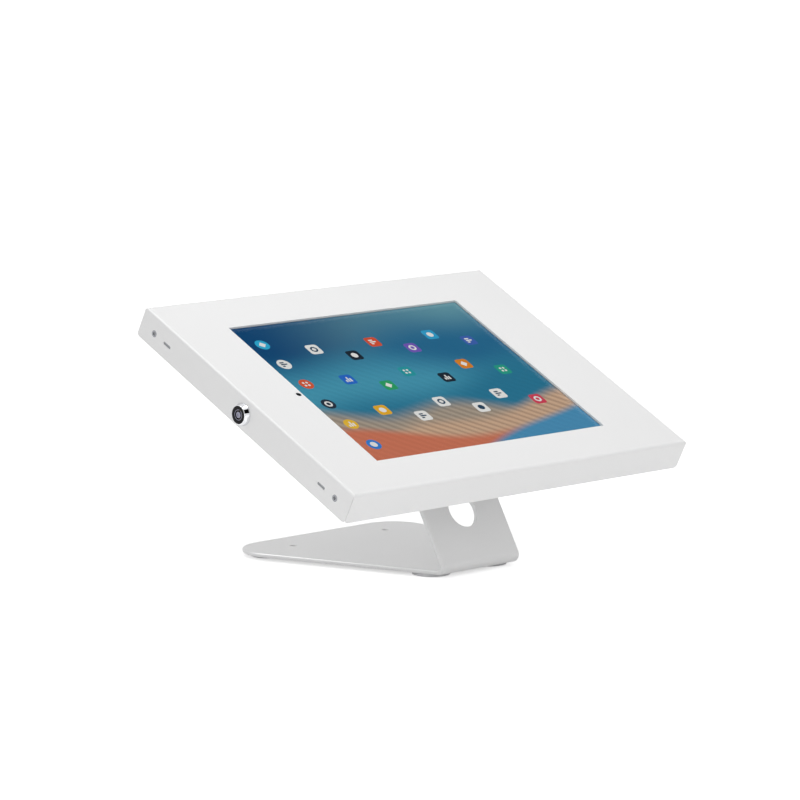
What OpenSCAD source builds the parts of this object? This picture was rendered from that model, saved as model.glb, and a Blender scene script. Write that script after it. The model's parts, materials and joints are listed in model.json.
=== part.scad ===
// Tablet security kiosk stand: a locking sheet steel enclosure for a tablet,
// tilted on a one-piece bent steel stand.
// X runs to the right, Y to the back and Z up. The origin lies on the underside
// of the base, midway between the two counter screw holes.
// Inside panel() the frame follows the enclosure instead: Y runs up the slope,
// Z stands square to the face, and the origin is the middle of the face.

/* [Enclosure] */
// Width of the cover, side to side
cover_w = 288; // [276:1:320]
// Length of the cover along the slope
cover_l = 205.5; // [196:0.5:230]
// Depth of the enclosure, square to its face
cover_d = 20; // [20:0.5:26]
// Thickness of the cover's sheet
cover_sheet = 1.2; // [1:0.1:1.6]
// Thickness of the rear tray's sheet
tray_sheet = 1.2; // [1:0.1:1.6]
// Outside radius of the sheet's bends
sheet_bend = 2; // [2:0.1:3]
// Tilt of the face from level
tilt = 27; // [20:1:35]
// Height of the middle of the face above the counter
face_z = 116.5; // [110:0.5:140]
// Distance from the foot of the upright back to the middle of the face
face_setback = 55; // [45:0.5:65]

/* [Window] */
// Width of the window
window_w = 196; // [180:1:204]
// Length of the window along the slope
window_l = 146.5; // [135:0.5:150]
// Offset of the window to the right
window_x = -4; // [-8:0.5:4]
// Offset of the window up the slope
window_y = -1.5; // [-4:0.5:4]
// Diameter of the camera hole
camera_hole_d = 3; // [2:0.1:5]
// Gap between the window and the middle of the camera hole
camera_hole_gap = 4.4; // [3:0.1:8]

/* [Cover details] */
// Width of the seam at the cover's corners
seam_w = 0.4; // [0.2:0.1:0.8]
// Depth of closed sheet above the seam
seam_top = 3; // [2:0.5:6]
// Radius of the flanges' lower corners
toe_r = 2; // [1:0.5:6]
// Distance from the security screws to the cover's ends
rail_screw_inset = 13.5; // [10:0.5:17]
// Distance from the tongue slots to the cover's ends
rail_slot_inset = 26.5; // [23:0.5:32]
// Depth of the screws, slots and lock below the face
side_row_d = 11; // [9:0.1:11.5]
// Length of a tongue slot
slot_l = 7; // [5:0.5:9]
// Width of a tongue slot
slot_w = 1.8; // [1.4:0.1:3]
// Head diameter of the security screws
rail_screw_head_d = 4.4; // [3.6:0.1:5]
// Shank diameter of the security screws
rail_screw_d = 2.5; // [2:0.1:3]
// Length of the security screws
rail_screw_l = 4.5; // [4:0.5:6]

/* [Side rails] */
// Thickness of the two side rails
rail_t = 1.2; // [1:0.1:1.6]
// Depth of the rails' upper edge below the face
rail_top_d = 3; // [2.5:0.1:4]
// Height of the rails
rail_h = 14; // [12:0.5:15]
// Width of the rails' stiffening lip
rail_lip = 5; // [3:0.5:8]
// Gap from the rails' ends to the cover's end flanges
rail_end_gap = 3; // [2:0.5:6]

/* [Rear tray] */
// Gap between the side rails and the tray
tray_side_gap = 0.9; // [0.7:0.1:1.5]
// Gap between the cover's end flanges and the tray
tray_end_gap = 0.6; // [0.4:0.1:1.2]
// Depth of the tray's upper edge below the face
tray_top_d = 8; // [7:0.5:10]
// Distance from the tray's side flanges to the cover's ends
tray_side_inset = 20; // [19:0.5:23]
// Half width of the flange's gap for the lock
lock_gap_half = 11; // [10:0.5:14]
// Diameter of the tray's cable hole
tray_hole_d = 22; // [15:1:30]
// Distance from the stand's upper bend down the slope to the tray's cable hole
tray_hole_gap = 33.5; // [25:0.5:42]

/* [Hinge] */
// Distance between the two hinges, middle to middle
hinge_pitch = 110; // [95:1:115]
// Length of one hinge
hinge_l = 40; // [34:1:46]
// Length of the cover's knuckle
cover_knuckle_l = 16; // [12:1:20]
// Outside radius of the knuckles
knuckle_r = 2.4; // [2.2:0.1:2.6]
// Radius of the hinge pins
pin_r = 1.2; // [0.9:0.1:1.3]
// Running clearance of the pins, on the radius
pin_clear = 0.05; // [0.02:0.01:0.09]
// Thickness of the tray's hinge leaves
leaf_t = 1; // [0.8:0.1:1.4]
// Width of the tray's hinge leaves, from the pin
leaf_w = 17; // [15:0.5:22]
// Shank radius of the rivets
rivet_r = 1.5; // [1:0.1:1.8]

/* [Lock] */
// Radius of the lock's collar
collar_r = 7; // [6.4:0.1:7.5]
// Radius of the lock's face
collar_face_r = 5.6; // [5.3:0.1:6]
// How far the lock stands out of the cover
lock_proud = 4.5; // [3.5:0.1:6]
// Radius of the lock's threaded barrel
barrel_r = 4.75; // [4.4:0.05:4.9]
// Length of the barrel inside the cover's outer face
barrel_l = 13; // [11:0.5:14]
// Radius of the turning plug
plug_r = 3.25; // [3:0.05:3.5]
// Gap between the cam's tip and the tray
cam_gap = 0.6; // [0.4:0.1:1]
// Width of the cam's arm
cam_w = 5.6; // [4:0.1:6]
// Thickness of the cam
cam_t = 1.6; // [1:0.1:2]
// Thickness of the keeper's strip
keeper_t = 1.5; // [1:0.1:1.8]
// Width of the keeper
keeper_w = 8; // [6:0.5:9]

/* [Tablet] */
// How much wider the cover is than the tablet
tablet_room_w = 48; // [47:0.5:58]
// How much longer the cover is than the tablet
tablet_room_l = 36; // [32:0.5:39]
// Thickness of the tablet
tablet_t = 7.5; // [6:0.5:9]
// Radius of the tablet's corners
tablet_corner = 9; // [6:0.5:14]
// Width of the lit display
display_w = 198; // [190:1:206]
// Length of the lit display along the slope
display_l = 148.5; // [140:0.5:152]
// Thickness of the tablet's front glass
glass_t = 0.9; // [0.6:0.1:1.2]
// Thickness of the display panel
display_t = 1.6; // [1:0.1:2]
// Thickness of the felt around the window
felt_t = 0.4; // [0.3:0.1:0.8]
// Width of the felt strip
felt_w = 9; // [6:0.5:12]
// Length of a corner holder's side
holder_l = 26; // [20:1:34]
// Wall of the corner holders outside the tablet
holder_wall = 6; // [4:0.5:8]

/* [Stand] */
// Thickness of the stand's plate
plate_t = 3; // [2.5:0.1:4]
// Outside radius of the stand's bends
plate_bend = 5; // [4.5:0.1:8]
// Width of the upright
upright_w = 67; // [60:1:90]
// Lean of the upright back from plumb
lean = 30; // [22:1:38]
// Length of the base, front to back
base_l = 154; // [140:1:180]
// Width of the base at its back, before its corners are rounded
base_back_w = 165; // [140:1:190]
// Radius of the base's back corners
base_corner_r = 24; // [12:1:32]
// Diameter of the cable hole in the upright
cable_hole_d = 22; // [15:1:26]
// Height of the cable hole up the upright
cable_hole_up = 34.5; // [30:0.5:45]
// Distance between the counter screw holes
counter_hole_pitch = 80; // [60:1:90]
// Diameter of the counter screw holes
counter_hole_d = 4.5; // [4:0.1:6]
// Distance from the counter screw holes to the back edge
counter_hole_inset = 26; // [20:1:32]
// Length of the flange that carries the enclosure
flange_l = 72; // [62:1:80]
// Radius of that flange's corners
flange_corner_r = 8; // [4:1:12]
// Distance between the flange's screws, across
stand_screw_x = 50; // [40:1:54]
// Distance between the flange's screws, along the slope
stand_screw_y = 44; // [36:1:46]
// Diameter of the flange's screws
stand_screw_d = 4; // [3:0.5:5]

/* [Feet] */
// Diameter of the rubber feet
foot_d = 24; // [16:1:28]
// Height of the rubber feet
foot_h = 2; // [1.5:0.1:4]
// Rounding of the feet's lower edges
foot_round = 0.8; // [0.4:0.1:1.2]
// Distance between the two front feet
front_feet_pitch = 49; // [36:1:52]
// Distance from the foot of the upright to the front feet
front_feet_y = 21; // [19:1:30]
// Distance between the two back feet
back_feet_pitch = 110; // [106:1:112]
// Distance from the back feet to the back edge
back_feet_inset = 20; // [18:1:30]

/* [Hidden] */
$fn = 64;
// Overshoot of cuts past the faces that they open
over = 1;
// Clearance of pieces that are only set beside each other
set_clear = 0.1;
// Clearance of pieces that pass each other
pass_clear = 0.3;

// The stand's side view
base_z = 0;
base_top_z = base_z + plate_t;
counter_z = base_z - foot_h;
face_mid_z = counter_z + face_z;
base_back_y = counter_hole_inset;
base_front_y = base_back_y - base_l;
low_bend_z = base_z + plate_bend;
low_bend_y = base_front_y + (plate_bend + sin(lean) * (low_bend_z - base_top_z)) / cos(lean);
face_y = base_front_y + face_setback;
// Height of a point of the stand's side view above the face
function above_face(y, z) = -sin(tilt) * (y - face_y) + cos(tilt) * (z - face_mid_z);
// Place of a point of the stand's side view along the slope
function along_face(y, z) = cos(tilt) * (y - face_y) + sin(tilt) * (z - face_mid_z);
upright_run = (-cover_d - plate_bend - above_face(low_bend_y, low_bend_z)) / cos(tilt + lean);
top_bend_y = low_bend_y + upright_run * sin(lean);
top_bend_z = low_bend_z + upright_run * cos(lean);
flange_y = along_face(top_bend_y, top_bend_z);
stand_screw_mid_y = flange_y + flange_l / 2;
tray_hole_y = flange_y - tray_hole_gap;
cable_hole_run = cable_hole_up - plate_bend * tan(lean);
// How far the bent strip runs into the base
base_lap = 10;
// Turn between the points of the plate's bends
arc_step = 5;
// Room around a screw in its hole, on the diameter
screw_room = 0.5;
washer_t = 0.8;
washer_lap = 2;
// A screw's head and socket, as shares of its diameter
head_h_share = 0.6;
head_d_share = 1.9;
socket_d_share = 0.7;
washer_r = stand_screw_d / 2 + washer_lap;
clinch_body_h = 2.6;
clinch_wall = 0.9;
clinch_lap = 1.4;
clinch_shank_r = stand_screw_d / 2 + clinch_wall;

// The enclosure's section
inner_x = cover_w / 2 - cover_sheet;
inner_y = cover_l / 2 - cover_sheet;
inner_bend = sheet_bend - cover_sheet;
rail_x = inner_x - rail_t;
// Inside radius of the small strips' bends
strip_bend = 0.8;
rail_half = inner_y - rail_end_gap;
rail_screw_y = cover_l / 2 - rail_screw_inset;
rail_slot_y = cover_l / 2 - rail_slot_inset;
tray_x = rail_x - tray_side_gap;
tray_y = inner_y - tray_end_gap;
tray_side_half = cover_l / 2 - tray_side_inset;
tray_floor = -cover_d + tray_sheet;
tablet_w = cover_w - tablet_room_w;
tablet_l = cover_l - tablet_room_l;
glass_z = -cover_sheet - felt_t - set_clear;
shell_z = glass_z - tablet_t;
tablet_camera_r = 2.2;
tablet_camera_h = 2;
tablet_camera_edge = 1.2;
// The camera stands clear of the window and of the display
camera_x = max(window_w / 2 + camera_hole_gap, display_w / 2 + tablet_camera_r + tablet_camera_edge);

// The hinge
hinge_x = cover_w / 2 - knuckle_r - set_clear;
hinge_z = -cover_d - leaf_t;
knuckle_gap = 0.3;
knuckle_room = 0.4;
knuckle_cut_h = knuckle_r - leaf_t + knuckle_room;
knuckle_cut_x = hinge_x - knuckle_r - knuckle_room;
cover_knuckle_room = cover_knuckle_l + 2 * knuckle_gap;
pin_head_h = 0.8;
pin_head_lap = 0.6;
pin_head_r = pin_r + pin_head_lap;
hinge_room = hinge_l / 2 + pin_head_h + knuckle_room;
leaf_rivet_edge = 5;
leaf_rivet_end = 8;
leaf_rivet_x = hinge_x - leaf_w + leaf_rivet_edge;
leaf_rivet_y = hinge_l / 2 - leaf_rivet_end;
rivet_head_lap = 1;
rivet_head_h = 0.8;

// The lock: its frame has Z out of the cover and X up from the face
lock_fit = 0.05;
face_ring_d = 0.8;
face_ring_edge = 0.3;
face_ring_r = collar_face_r - face_ring_edge;
plug_bore_r = plug_r + lock_fit;
nut_af = 13;
nut_t = 2.5;
// Slope of the nut's chamfer, and its flat face as a share of the width across flats
nut_chamfer = 30;
nut_face_share = 0.96;
lock_washer_t = 0.6;
lock_washer_lap = 2;
nut_z = -cover_sheet - rail_t - lock_washer_t;
cam_z = -barrel_l - pass_clear;
cam_stub = 4.4;
cam_hub_r = 3.6;
cam_screw_r = 1.25;
cam_screw_in = 4;
cam_screw_head_h = 1.4;
cam_screw_head_r = 3.2;
key_groove_in = 1.9;
key_groove_out = 2.9;
key_groove_d = 4;
key_notch = 0.9;
lock_pin_r = 0.35;
lock_pin_l = 3;
cam_reach = -tray_floor - side_row_d - cam_gap;
cam_tip_gap = 0.7;
keeper_gap = cam_reach + cam_tip_gap;
keeper_lip_z = -side_row_d + cam_w / 2 + pass_clear;
keeper_reach = barrel_r + cam_tip_gap;
keeper_foot = 13;
// The wall's two halves overlap
keeper_leg = 0.6 * (keeper_lip_z + keeper_t - tray_floor);
keeper_x = -cover_w / 2 - cam_z + cam_t / 2;
keeper_rivet_r = 1.2;
keeper_rivet_pitch = 5;
keeper_rivet_end = 4;
keeper_rivet_y = keeper_gap + keeper_foot - keeper_rivet_end;

white_coat = "whitesmoke";
zinc = "silver";

// Places and repeats

module panel() {
    translate([0, face_y, face_mid_z]) rotate([tilt, 0, 0]) children();
}

module lock_place() {
    panel() translate([-cover_w / 2, 0, -side_row_d]) rotate([0, -90, 0]) children();
}

module both_sides() {
    children();
    mirror([1, 0, 0]) children();
}

module both_ends() {
    children();
    mirror([0, 1, 0]) children();
}

module stand_screw_places() {
    for (sx = [-1, 1], sy = [-1, 1]) {
        translate([sx * stand_screw_x / 2, stand_screw_mid_y + sy * stand_screw_y / 2, 0]) children();
    }
}

module tablet_place() {
    translate([window_x, window_y, 0]) children();
}

module leaf_rivet_places() {
    for (end = [-1, 1], s = [-1, 1]) {
        translate([leaf_rivet_x, end * hinge_pitch / 2 + s * leaf_rivet_y, 0]) children();
    }
}

module keeper_rivet_places() {
    for (s = [-1, 1]) {
        translate([keeper_x + s * keeper_rivet_pitch / 2, keeper_rivet_y, 0]) children();
    }
}

// Outlines and shared shapes

module rounded_rect(w, l, r) {
    square([w - 2 * r, l], center = true);
    square([w, l - 2 * r], center = true);
    for (sx = [-1, 1], sy = [-1, 1]) {
        translate([sx * (w / 2 - r), sy * (l / 2 - r)]) circle(r);
    }
}

// Section of a sheet pan: its upper corners are bends
module pan_section(w, d, r) {
    translate([-w / 2, -d]) square([w, d - r]);
    translate([-w / 2 + r, -d]) square([w - 2 * r, d]);
    for (s = [-1, 1]) {
        translate([s * (w / 2 - r), -r]) circle(r);
    }
}

// A block with its top at zero and its four upper edges bent round
module pan_block(w, l, d, r) {
    intersection() {
        rotate([90, 0, 0]) linear_extrude(l, center = true) pan_section(w, d, r);
        rotate([90, 0, 90]) linear_extrude(w, center = true) pan_section(l, d, r);
    }
}

// A slot with round ends, along Y
module slot_shape(l, w) {
    square([w, l - w], center = true);
    for (s = [-1, 1]) {
        translate([0, s * (l - w) / 2]) circle(d = w);
    }
}

// Section of a strip bent square: from its outside corner at zero, one leg down and one to the left
module bent_strip(down, left, t) {
    r = t + strip_bend;
    translate([-t, -down]) square([t, down - r]);
    translate([-left, -t]) square([left - r, t]);
    translate([-r, -r]) intersection() {
        difference() {
            circle(r);
            circle(strip_bend);
        }
        square(r);
    }
}

// A domed head of a rivet or screw, its flat side at zero
module domed_head(r, h) {
    dome_r = (r * r + h * h) / (2 * h);
    intersection() {
        cylinder(h = h, r = r + over);
        translate([0, 0, h - dome_r]) sphere(dome_r);
    }
}

// What is cut from a flange's lower corner to round it
module toe_cut(r) {
    difference() {
        translate([-r, -over]) square([r + over, r + over]);
        translate([-r, r]) circle(r);
    }
}

// A bar along the slope through the hinge's axis
module hinge_bar(y, l, r) {
    translate([hinge_x, y - l / 2, hinge_z]) rotate([-90, 0, 0]) cylinder(h = l, r = r);
}

// Points along an arc
function arc(middle, r, from, to) =
    let (steps = ceil(abs(to - from) / arc_step), step = (to - from) / steps)
    [for (i = [0 : steps]) middle + r * [cos(from + i * step), sin(from + i * step)]];

// Stand

// Outline of the base: straight tapering sides and two rounded back corners
module base_outline() {
    front = [-upright_w / 2, low_bend_y];
    back = [-base_back_w / 2, base_back_y];
    side = (front - back) / norm(front - back);
    half_turn = acos(side[0]) / 2;
    run = base_corner_r / tan(half_turn);
    middle = back + [run, -base_corner_r];
    on_side = back + side * run;
    polygon([
        front, on_side, [back[0] + run, back[1]],
        [-back[0] - run, back[1]], [-on_side[0], on_side[1]], [-front[0], front[1]]
    ]);
    for (s = [-1, 1]) {
        translate([s * middle[0], middle[1]]) circle(base_corner_r);
    }
}

// Side view of the bent strip: front of the base, upright and carrying flange
module strip_profile() {
    low = [low_bend_y, low_bend_z];
    top = [top_bend_y, top_bend_z];
    inside = plate_bend - plate_t;
    slope = [cos(tilt), sin(tilt)];
    square_to_slope = [-sin(tilt), cos(tilt)];
    polygon(concat(
        [[low_bend_y + base_lap, base_z]],
        arc(low, plate_bend, 270, 180 - lean),
        arc(top, plate_bend, 180 - lean, 90 + tilt),
        [top + plate_bend * square_to_slope + flange_l * slope],
        [top + inside * square_to_slope + flange_l * slope],
        arc(top, inside, 90 + tilt, 180 - lean),
        arc(low, inside, 180 - lean, 270),
        [[low_bend_y + base_lap, base_top_z]]
    ));
}

module cable_hole_cut() {
    translate([0, low_bend_y, low_bend_z]) rotate([-lean, 0, 0])
        translate([0, over, cable_hole_run]) rotate([90, 0, 0])
            cylinder(h = plate_bend + 2 * over, d = cable_hole_d);
}

// Rounded corners and screw holes of the flange that carries the enclosure
module carrying_flange_cuts() {
    translate([0, 0, -cover_d - plate_t - over]) {
        both_sides() translate([upright_w / 2, flange_y + flange_l, 0])
            linear_extrude(plate_t + 2 * over) mirror([0, 1, 0]) toe_cut(flange_corner_r);
        stand_screw_places() cylinder(h = plate_t + 2 * over, d = stand_screw_d + screw_room);
    }
}

module stand_plate() {
    color(white_coat) difference() {
        union() {
            translate([0, 0, base_z]) linear_extrude(plate_t) base_outline();
            rotate([90, 0, 90]) linear_extrude(upright_w, center = true) strip_profile();
        }
        both_sides() translate([counter_hole_pitch / 2, 0, base_z - over])
            cylinder(h = plate_t + 2 * over, d = counter_hole_d);
        cable_hole_cut();
        panel() carrying_flange_cuts();
    }
}

module foot() {
    rotate_extrude() {
        translate([0, foot_round]) square([foot_d / 2, foot_h - foot_round]);
        square([foot_d / 2 - foot_round, foot_h]);
        translate([foot_d / 2 - foot_round, foot_round]) circle(foot_round);
    }
}

module rubber_feet() {
    color("dimgray") both_sides() {
        translate([front_feet_pitch / 2, base_front_y + front_feet_y, counter_z]) foot();
        translate([back_feet_pitch / 2, base_back_y - back_feet_inset, counter_z]) foot();
    }
}

module stand_screws() {
    seat = -cover_d - plate_t - washer_t;
    head_h = head_h_share * stand_screw_d;
    color(zinc) panel() stand_screw_places() translate([0, 0, seat]) {
        cylinder(h = plate_t + washer_t + tray_sheet + clinch_body_h, d = stand_screw_d);
        difference() {
            mirror([0, 0, 1]) domed_head(head_d_share * stand_screw_d / 2, head_h);
            translate([0, 0, -head_h - over])
                cylinder(h = head_h / 2 + over, d = socket_d_share * stand_screw_d, $fn = 6);
        }
    }
}

module stand_washers() {
    color(zinc) panel() stand_screw_places() translate([0, 0, -cover_d - plate_t - washer_t])
        difference() {
            cylinder(h = washer_t, r = washer_r);
            translate([0, 0, -over]) cylinder(h = washer_t + 2 * over, d = stand_screw_d + screw_room);
        }
}

module clinch_nuts() {
    color(zinc) panel() stand_screw_places() translate([0, 0, -cover_d]) difference() {
        union() {
            cylinder(h = tray_sheet, r = clinch_shank_r);
            translate([0, 0, tray_sheet]) cylinder(h = clinch_body_h, r = clinch_shank_r + clinch_lap);
        }
        translate([0, 0, -over])
            cylinder(h = tray_sheet + clinch_body_h + 2 * over, d = stand_screw_d + set_clear);
    }
}

// Rear tray and what is fixed to it

module tray_pan() {
    depth = cover_d - tray_top_d;
    in_x = tray_x - tray_sheet;
    in_y = tray_y - tray_sheet;
    translate([0, 0, -cover_d]) mirror([0, 0, 1]) difference() {
        pan_block(2 * tray_x, 2 * tray_y, depth, sheet_bend);
        translate([0, 0, -tray_sheet]) pan_block(2 * in_x, 2 * in_y, depth, sheet_bend - tray_sheet);
    }
}

// Open ends of both side flanges, where the rails' screws pass
module tray_side_ends() {
    end_l = tray_y - tray_sheet - tray_side_half;
    both_sides() both_ends()
        translate([tray_x - sheet_bend, tray_side_half, tray_floor])
            cube([sheet_bend + over, end_l, cover_d]);
}

module tray_cuts() {
    tray_side_ends();
    translate([-tray_x - over, -lock_gap_half, tray_floor])
        cube([sheet_bend + over, 2 * lock_gap_half, cover_d]);
    both_ends() translate([knuckle_cut_x, hinge_pitch / 2 - hinge_room, -cover_d - over])
        cube([knuckle_r + over, 2 * hinge_room, over + knuckle_cut_h]);
    translate([0, tray_hole_y, -cover_d - over]) cylinder(h = tray_sheet + 2 * over, d = tray_hole_d);
    stand_screw_places() translate([0, 0, -cover_d - over])
        cylinder(h = tray_sheet + 2 * over, r = clinch_shank_r);
    leaf_rivet_places() translate([0, 0, -cover_d - over])
        cylinder(h = tray_sheet + 2 * over, r = rivet_r);
    keeper_rivet_places() translate([0, 0, -cover_d - over])
        cylinder(h = tray_sheet + 2 * over, r = keeper_rivet_r);
}

module rear_tray() {
    color(white_coat) panel() difference() {
        tray_pan();
        tray_cuts();
    }
}

// A strip bent three times: foot on the tray, wall, and a lip over the cam
module lock_keeper() {
    color(zinc) panel() difference() {
        translate([keeper_x, 0, 0]) rotate([90, 0, 90]) linear_extrude(keeper_w, center = true) {
            translate([keeper_gap, tray_floor]) rotate(180)
                bent_strip(keeper_leg, keeper_foot, keeper_t);
            translate([keeper_gap + keeper_t, keeper_lip_z + keeper_t])
                bent_strip(keeper_leg, keeper_gap + keeper_t - keeper_reach, keeper_t);
        }
        keeper_rivet_places() translate([0, 0, tray_floor - over])
            cylinder(h = keeper_t + 2 * over, r = keeper_rivet_r);
    }
}

module keeper_rivets() {
    color(zinc) panel() keeper_rivet_places() translate([0, 0, -cover_d]) {
        cylinder(h = tray_sheet + keeper_t, r = keeper_rivet_r);
        translate([0, 0, tray_sheet + keeper_t])
            domed_head(keeper_rivet_r + rivet_head_lap, rivet_head_h);
    }
}

// Leaf under the tray with two outer knuckles
module tray_hinge(y) {
    knuckle_l = (hinge_l - cover_knuckle_room) / 2;
    color(zinc) panel() difference() {
        union() {
            translate([hinge_x - leaf_w, y - hinge_l / 2, hinge_z]) cube([leaf_w, hinge_l, leaf_t]);
            for (s = [-1, 1]) {
                hinge_bar(y + s * (hinge_l - knuckle_l) / 2, knuckle_l, knuckle_r);
            }
        }
        hinge_bar(y, hinge_l + 2 * over, pin_r + pin_clear);
        translate([knuckle_cut_x, y - cover_knuckle_room / 2, hinge_z - over])
            cube([knuckle_r + knuckle_room + over, cover_knuckle_room, leaf_t + 2 * over]);
        leaf_rivet_places() translate([0, 0, hinge_z - over])
            cylinder(h = leaf_t + 2 * over, r = rivet_r);
    }
}

module tray_hinge_front() {
    tray_hinge(-hinge_pitch / 2);
}

module tray_hinge_back() {
    tray_hinge(hinge_pitch / 2);
}

module hinge_rivets() {
    color(zinc) panel() leaf_rivet_places() translate([0, 0, hinge_z]) {
        mirror([0, 0, 1]) domed_head(rivet_r + rivet_head_lap, rivet_head_h);
        cylinder(h = leaf_t + tray_sheet, r = rivet_r);
        translate([0, 0, leaf_t + tray_sheet]) domed_head(rivet_r + rivet_head_lap, rivet_head_h);
    }
}

module hinge_pin(y) {
    color(zinc) panel() {
        hinge_bar(y, hinge_l, pin_r);
        for (s = [-1, 1]) {
            hinge_bar(y + s * (hinge_l + pin_head_h) / 2, pin_head_h, pin_head_r);
        }
    }
}

module hinge_pin_front() {
    hinge_pin(-hinge_pitch / 2);
}

module hinge_pin_back() {
    hinge_pin(hinge_pitch / 2);
}

// Tablet and what holds it

module tablet_block(grow) {
    linear_extrude(tablet_t)
        rounded_rect(tablet_w + 2 * grow, tablet_l + 2 * grow, tablet_corner + grow);
}

// A post with a ledge under the tablet and two walls around its corner
module corner_holder(sx, sy) {
    top_z = glass_z - glass_t;
    edge_r = 3;
    middle = [tablet_w / 2, tablet_l / 2] + (holder_wall - holder_l / 2) * [1, 1];
    color("gray") panel() tablet_place() difference() {
        translate([sx * middle[0], sy * middle[1], tray_floor])
            linear_extrude(top_z - tray_floor) rounded_rect(holder_l, holder_l, edge_r);
        translate([0, 0, shell_z]) tablet_block(pass_clear);
    }
}

module corner_holder_front_left() {
    corner_holder(-1, -1);
}

module corner_holder_front_right() {
    corner_holder(1, -1);
}

module corner_holder_back_left() {
    corner_holder(-1, 1);
}

module corner_holder_back_right() {
    corner_holder(1, 1);
}

module back_pads() {
    pad_w = 26;
    pad_l = 60;
    pad_x = 72;
    pad_y = 40;
    pad_corner = 4;
    color("darkslategray") panel() tablet_place() both_sides() both_ends()
        translate([pad_x, pad_y, tray_floor])
            linear_extrude(shell_z - set_clear - tray_floor) rounded_rect(pad_w, pad_l, pad_corner);
}

// Back shell with rounded back edges, open under the glass for the display and the camera
module tablet_shell() {
    back_round = 3;
    color("lightgray") panel() tablet_place() difference() {
        translate([0, 0, shell_z]) intersection() {
            linear_extrude(tablet_t - glass_t) rounded_rect(tablet_w, tablet_l, tablet_corner);
            mirror([0, 0, 1]) pan_block(tablet_w, tablet_l, tablet_t, back_round);
        }
        translate([0, 0, glass_z - glass_t - display_t])
            linear_extrude(display_t + over) square([display_w, display_l], center = true);
        tablet_camera_place() translate([0, 0, -tablet_camera_h])
            cylinder(h = tablet_camera_h + over, r = tablet_camera_r);
    }
}

module tablet_camera_place() {
    translate([-camera_x, 0, glass_z - glass_t]) children();
}

module tablet_display() {
    color("steelblue") panel() tablet_place() translate([0, 0, glass_z - glass_t - display_t])
        linear_extrude(display_t) square([display_w, display_l], center = true);
}

module tablet_glass() {
    color("lightcyan") panel() tablet_place() translate([0, 0, glass_z - glass_t])
        linear_extrude(glass_t) rounded_rect(tablet_w, tablet_l, tablet_corner);
}

module tablet_camera() {
    color("black") panel() tablet_place() tablet_camera_place()
        translate([0, 0, -tablet_camera_h]) cylinder(h = tablet_camera_h, r = tablet_camera_r);
}

// Front cover and what is fixed to it

module cover_pan() {
    difference() {
        pan_block(cover_w, cover_l, cover_d, sheet_bend);
        translate([0, 0, -cover_sheet]) pan_block(2 * inner_x, 2 * inner_y, cover_d, inner_bend);
    }
}

// One corner's seam and the rounded ends of its two flanges
module cover_corner_cut() {
    translate([cover_w / 2, cover_l / 2, -cover_d]) rotate(45)
        cube([6 * cover_sheet, seam_w, 2 * (cover_d - seam_top)], center = true);
    translate([inner_x - set_clear, cover_l / 2, -cover_d]) rotate([90, 0, 90])
        linear_extrude(cover_sheet + over) toe_cut(toe_r);
    translate([cover_w / 2, cover_l / 2 + over, -cover_d]) rotate([90, 0, 0])
        linear_extrude(cover_sheet + over + set_clear) toe_cut(toe_r);
}

// Places of the two side rows, with X out of the cover and Z up from the screws
module side_row(y) {
    both_ends() translate([cover_w / 2, y, -side_row_d]) children();
}

module rail_screw_hole() {
    countersink = (rail_screw_head_d - rail_screw_d) / 2;
    rotate([0, -90, 0]) {
        translate([0, 0, -over]) cylinder(h = rail_screw_l + over, d = rail_screw_d + set_clear);
        cylinder(h = countersink, d1 = rail_screw_head_d + set_clear, d2 = rail_screw_d + set_clear);
    }
}

module cover_cuts() {
    translate([window_x, window_y, 0]) cube([window_w, window_l, 3 * cover_sheet], center = true);
    translate([window_x - camera_x, window_y, -2 * cover_sheet])
        cylinder(h = 3 * cover_sheet, d = camera_hole_d);
    both_sides() both_ends() cover_corner_cut();
    both_sides() {
        side_row(rail_screw_y) rail_screw_hole();
        side_row(rail_slot_y) rotate([0, 90, 0])
            linear_extrude(3 * cover_sheet, center = true) slot_shape(slot_l, slot_w);
    }
    translate([-cover_w / 2 - over, 0, -side_row_d]) rotate([0, 90, 0])
        cylinder(h = cover_sheet + 2 * over, r = barrel_r + set_clear);
    both_ends() translate([inner_x - set_clear, hinge_pitch / 2 - hinge_room, -cover_d - over])
        cube([cover_sheet + over, 2 * hinge_room, over + knuckle_cut_h]);
}

module front_cover() {
    color(white_coat) panel() difference() {
        cover_pan();
        cover_cuts();
    }
}

module window_felt() {
    edge = 1.5;
    inner = [window_w + 2 * edge, window_l + 2 * edge];
    color("white") panel() tablet_place() translate([0, 0, -cover_sheet - felt_t])
        linear_extrude(felt_t) difference() {
            square(inner + 2 * [felt_w, felt_w], center = true);
            square(inner, center = true);
            translate([-camera_x, 0]) circle(camera_hole_d);
        }
}

// Right hand rail: a strip on the side flange with a stiffening lip, two tongues and two screw holes
module side_rail() {
    tongue = cover_sheet / 2;
    tongue_l = slot_l - 2 * set_clear;
    tongue_w = slot_w - 2 * set_clear;
    difference() {
        union() {
            translate([inner_x, 0, -rail_top_d]) rotate([90, 0, 0])
                linear_extrude(2 * rail_half, center = true) bent_strip(rail_h, rail_lip, rail_t);
            side_row(rail_slot_y) translate([-cover_sheet - rail_t / 2, 0, 0]) rotate([0, 90, 0])
                linear_extrude(rail_t / 2 + tongue) slot_shape(tongue_l, tongue_w);
        }
        side_row(rail_screw_y) rail_screw_hole();
    }
}

module lock_rail() {
    color(zinc) panel() difference() {
        mirror([1, 0, 0]) side_rail();
        translate([-inner_x - over, 0, -side_row_d]) rotate([0, 90, 0])
            cylinder(h = rail_t + 2 * over, r = barrel_r + set_clear);
        translate([-rail_x, -nut_af, -rail_top_d - rail_t - over])
            cube([rail_lip, 2 * nut_af, rail_t + 2 * over]);
    }
}

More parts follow.
